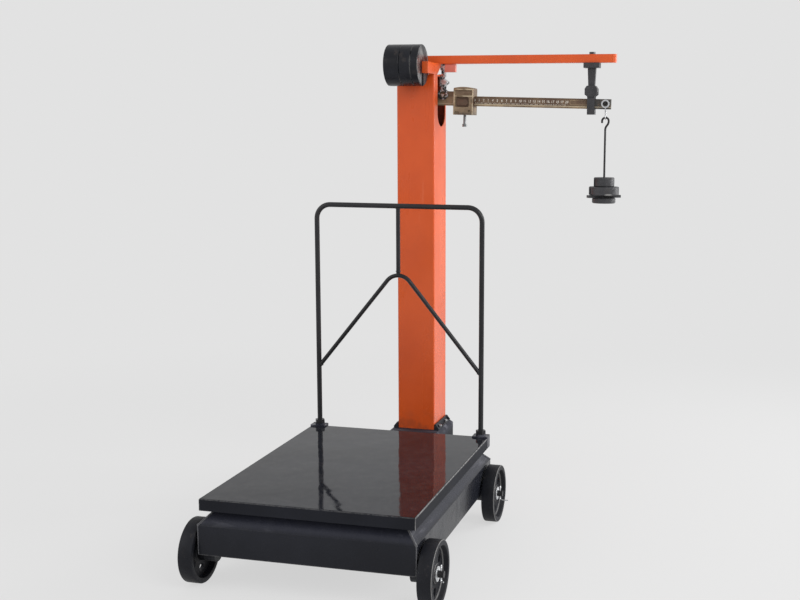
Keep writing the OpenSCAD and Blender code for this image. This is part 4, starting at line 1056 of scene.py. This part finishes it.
class SCALE_OT_poise(bpy.types.Operator):
    """Cast brass poise with its domed top, ribs, pockets, raised plate and lock screw"""
    bl_idname = "scale.poise"
    bl_label = "Poise"

    # From the beam's middle under the poise: along the beam, out and up from the fulcrum's edge
    MIDDLE_X = 55.5
    HALF, DEEP, LOW, TOP = 25.0, 20.0, -41.0, 27.0
    DOME = 105
    RIB_FOOT = 17
    # Each pocket's start and end along the beam, its foot and top, and its depth
    POCKETS = ((-20, 14, -22, 2, 4.0), (-21, 21, 8, 19, 1.8), (-22, -10, -40, -33, 3.0))
    # The same for the ribs, with how far out they stand
    RIBS = ((-25, -22, -41, 21, 21.5), (22, 25, -41, 21, 21.5), (-22.5, 22.5, 3, 6, 21.5),
            (-25, 25, 19, 22.4, 21.5), (-22.5, 22.5, -41, -38.6, 20.8))
    # The beam's way through it, the lock screw's hole, and a round dimple
    WAY = (mm(-40, -5.3, -19.3), mm(40, 5.3, 5.3))
    SCREW_HOLE = (mm(0, 0, -45), mm(0, 0, -17), 3.65 * MM, 24)
    DIMPLE_X, DIMPLE_Z, DIMPLE_RADIUS = 15.5, -31.5, 2.8

    def execute(self, context):
        sizes, f = workshop(context)
        body = soften(prism(self.outline(), mm(0, 2 * self.DEEP, 0)), 1.0 * MM, 3, 50)
        cut(body, *[cutter for side in SIDES for cutter in self.hollows(side)])
        cut(body, block(*self.WAY))
        cut(body, rod(*self.SCREW_HOLE))
        proud = [form for side in SIDES for form in self.raised(side)]
        piece = moved(fuse(body, *proud), LEVEL @ Matrix.Translation(mm(self.MIDDLE_X, 0, 0)))
        finish_piece(piece, "poise_casting", "poise", f.poise_brass, "brass", "poise")
        dress(f.dull_zinc, 0.5 * sizes.small_edge, "poise_screw")
        return {"FINISHED"}

    def outline(self):
        """The poise's front: two lower corners and an arc over the top."""
        points = [mm(-self.HALF, -self.DEEP, self.LOW), mm(self.HALF, -self.DEEP, self.LOW)]
        for index in range(9):
            x = self.HALF - 2 * self.HALF * index / 8
            drop = self.DOME - (self.DOME ** 2 - x ** 2) ** 0.5
            points.append(mm(x, -self.DEEP, self.TOP - drop))
        return points

    def hollows(self, side):
        """Cutters for one side's pockets and the round dimple at its lower corner."""
        y = side * self.DEEP
        cutters = []
        for x0, x1, z0, z1, depth in self.POCKETS:
            pocket = block(mm(x0, y - depth, z0), mm(x1, y + depth, z1))
            cutters.append(soften(pocket, min(3.5, 0.4 * (z1 - z0)) * MM, 4, 60))
        ends = [mm(self.DIMPLE_X, side * (self.DEEP + out), self.DIMPLE_Z) for out in (-3, 4)]
        cutters.append(rod(*ends, self.DIMPLE_RADIUS * MM))
        return cutters

    def raised(self, side):
        """One side's ribs, and the plate with one round end in its middle pocket."""
        forms = []
        for x0, x1, z0, z1, out in self.RIBS:
            rib = block(mm(x0, side * self.RIB_FOOT, z0), mm(x1, side * out, z1))
            forms.append(soften(rib, 0.8 * MM, 3))
        left, right, middle, radius, y = -16, 4, -10.5, 8, side * 15.5
        plate = [mm(left, y, middle + radius), mm(right, y, middle + radius)]
        for index in range(1, 12):
            a = pi / 2 - pi * index / 12
            plate.append(mm(right + radius * cos(a), y, middle + radius * sin(a)))
        plate += [mm(right, y, middle - radius), mm(left, y, middle - radius)]
        forms.append(soften(prism(plate, mm(0, side * 2.6, 0)), 0.7 * MM, 3, 50))
        return forms


class SCALE_OT_counterpoise(bpy.types.Operator):
    """Tip link, hooked rod and the slotted weights, hanging and stored"""
    bl_idname = "scale.counterpoise"
    bl_label = "Counterpoise and weights"

    PLUG_Y, PLUG_Z, PLUG_RADIUS = -24, 14, 5.5

    def execute(self, context):
        sizes, f = workshop(context)
        dress(f.zinc, 0, "tip_stirrup")
        dress(f.rod_iron, 0, "hanger_rod")
        dress(f.iron, sizes.plate_edge, "hanger_base", "hanger_weight_lower", "hanger_weight_upper")
        for number in (1, 2, 3):
            node = "stored_weight_%d" % number
            dress(f.weight_black, sizes.plate_edge, node)
            low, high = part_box(node)
            centre = (low + high) / 2
            centre.x = low.x
            plug = rod(centre + mm(-0.1, self.PLUG_Y, self.PLUG_Z),
                       centre + mm(2, self.PLUG_Y, self.PLUG_Z), self.PLUG_RADIUS * MM, 28)
            finish_piece(soften(plug, 0.4 * MM), "weight_plug_%d" % number, node, f.lead,
                         "weight_iron")
        return {"FINISHED"}


class SCALE_OT_levers(bpy.types.Operator):
    """Cast levers with their knives, and the rod in the column"""
    bl_idname = "scale.levers"
    bl_label = "Levers"

    def execute(self, context):
        sizes, f = workshop(context)
        dress(f.lever_iron, sizes.cast_edge, "long_lever", "short_lever")
        dress(f.steel, 0.5 * sizes.small_edge, "long_lever_knives", "short_lever_knives")
        dress(f.iron, sizes.small_edge, "lever_link", "rod_lower_shackle", "rod_upper_shackle")
        dress(f.iron, 0, "pull_rod")
        return {"FINISHED"}


class SCALE_OT_studio(bpy.types.Operator):
    """Pale floor, soft lamps and the camera"""
    bl_idname = "scale.studio"
    bl_label = "Studio"

    WORLD_LIGHT = 0.62
    FLOOR_GLOW = 0.80
    WIDTH, HEIGHT, SENSOR = 800, 600, 36

    def execute(self, context):
        pale = tuple(context.scene.scale_colours.backdrop)
        self.camera(context)
        self.floor(pale)
        self.world(context, pale)
        self.lamp("key_lamp", spot=(2.6, -1.9, 2.6), size=2.0, power=62)
        self.lamp("side_lamp", spot=(2.9, 1.6, 1.5), size=1.8, power=85)
        self.lamp("fill_lamp", spot=(-2.6, -2.2, 1.9), size=2.6, power=30)
        context.scene.view_settings.view_transform = "Standard"
        return {"FINISHED"}

    def camera(self, context):
        """The photograph's camera: a place, a turn and a lens in pixels of its frame."""
        yaw, pitch, roll = 0.2456573, 0.1541735, 0.0054942
        focal, centre_x, centre_y = 1149.823, 473.230, 307.069
        ahead = Vector((-sin(yaw) * cos(pitch), cos(yaw) * cos(pitch), -sin(pitch)))
        right = ahead.cross(Vector((0, 0, 1))).normalized()
        up = right.cross(ahead)
        across = right * cos(roll) + up * sin(roll)
        upright = up * cos(roll) - right * sin(roll)
        turn = Matrix((across, upright, -ahead)).transposed().to_4x4()
        spot = place(836.28, -2298.36, 918.97)
        bpy.ops.object.camera_add()
        camera = context.object
        camera.name = "photo_camera"
        camera.matrix_world = Matrix.Translation(spot) @ turn
        camera.data.sensor_width = self.SENSOR
        camera.data.lens = focal * self.SENSOR / self.WIDTH
        camera.data.shift_x = (self.WIDTH / 2 - centre_x) / self.WIDTH
        camera.data.shift_y = (centre_y - self.HEIGHT / 2) / self.WIDTH
        camera.data.clip_end = 100
        context.scene.camera = camera

    def floor(self, pale):
        """Floor that takes shadows near the scale and meets the backdrop far from it."""
        only()
        bpy.ops.mesh.primitive_plane_add(size=60, location=(0, 0, 0))
        floor = settle()
        floor.name = "floor"
        f = Finish("floor_paper")
        away = (f.x ** 2 + f.y ** 2) ** 0.5
        f.set(Base_Color=f.mix(f.noise(40, 3) * 0.03, pale, (0.70, 0.70, 0.70)), Roughness=0.8,
              IOR=1.2)
        glow = f.node("ShaderNodeEmission", None, {"Color": pale, "Strength": 1.0})
        seen = f.maths("MINIMUM", f.ray("Camera") + f.ray("Glossy"), 1.0)
        share = (self.FLOOR_GLOW + away.above(1.1, 2.6) * (1 - self.FLOOR_GLOW)) * seen
        paper = Wire(f, f.shader.outputs[0])
        mixed = f.node("ShaderNodeMixShader", None, {0: share, 1: paper, 2: glow})
        f.feed(f.nodes["Material Output"].inputs["Surface"], mixed)
        floor.data.materials.append(f.material)

    def world(self, context, pale):
        """Even sky: the backdrop's own colour where it is seen, and a plain level where it lights."""
        world = bpy.data.worlds.new("studio_world")
        world.use_nodes = True
        context.scene.world = world
        g = Graph(world.node_tree)
        light = g.nodes["Background"]
        g.feed(light.inputs["Color"], (1, 1, 1))
        g.feed(light.inputs["Strength"], self.WORLD_LIGHT)
        sky = g.node("ShaderNodeBackground", None, {"Color": pale})
        seen = g.most(g.most(g.ray("Camera"), g.ray("Glossy")), g.ray("Transmission"))
        mixed = g.node("ShaderNodeMixShader", None, {0: seen, 1: Wire(g, light.outputs[0]), 2: sky})
        g.feed(g.nodes["World Output"].inputs["Surface"], mixed)

    def lamp(self, name, spot, size, power):
        """A square soft lamp that looks at the middle of the scale."""
        only()
        spot = Vector(spot)
        turn = (Vector((0, 0, 0.5)) - spot).to_track_quat("-Z", "Y").to_euler()
        bpy.ops.object.light_add(type="AREA", location=spot, rotation=turn)
        lamp = bpy.context.object
        lamp.name = name
        lamp.data.size = size
        lamp.data.energy = power


# Add-on

MAKERS = (SCALE_OT_wheels, SCALE_OT_running_gear, SCALE_OT_frame, SCALE_OT_platform, SCALE_OT_guard,
          SCALE_OT_column, SCALE_OT_arm, SCALE_OT_suspension, SCALE_OT_beam, SCALE_OT_poise,
          SCALE_OT_counterpoise, SCALE_OT_levers, SCALE_OT_studio)


class SCALE_PT_panel(bpy.types.Panel):
    """Lists the scale's sizes, colours and makers"""
    bl_idname = "SCALE_PT_panel"
    bl_label = "Platform scale"
    bl_space_type = "VIEW_3D"
    bl_region_type = "UI"
    bl_category = "Platform scale"

    def draw(self, context):
        layout = self.layout
        for group in (context.scene.scale_sizes, context.scene.scale_colours):
            for key in group.bl_rna.properties.keys():
                if key not in ("rna_type", "name"):
                    layout.prop(group, key)
        for maker in MAKERS:
            layout.operator(maker.bl_idname)


CLASSES = (ScaleSizes, ScaleColours) + MAKERS + (SCALE_PT_panel,)


def register():
    for kind in CLASSES:
        bpy.utils.register_class(kind)
    bpy.types.Scene.scale_sizes = bpy.props.PointerProperty(type=ScaleSizes)
    bpy.types.Scene.scale_colours = bpy.props.PointerProperty(type=ScaleColours)


def unregister():
    del bpy.types.Scene.scale_sizes
    del bpy.types.Scene.scale_colours
    for kind in reversed(CLASSES):
        bpy.utils.unregister_class(kind)


def main():
    register()
    bpy.ops.scale.wheels()
    bpy.ops.scale.running_gear()
    bpy.ops.scale.frame()
    bpy.ops.scale.platform()
    bpy.ops.scale.guard()
    bpy.ops.scale.column()
    bpy.ops.scale.arm()
    bpy.ops.scale.suspension()
    bpy.ops.scale.beam()
    bpy.ops.scale.poise()
    bpy.ops.scale.counterpoise()
    bpy.ops.scale.levers()
    bpy.ops.scale.studio()


if __name__ == "__main__":
    main()
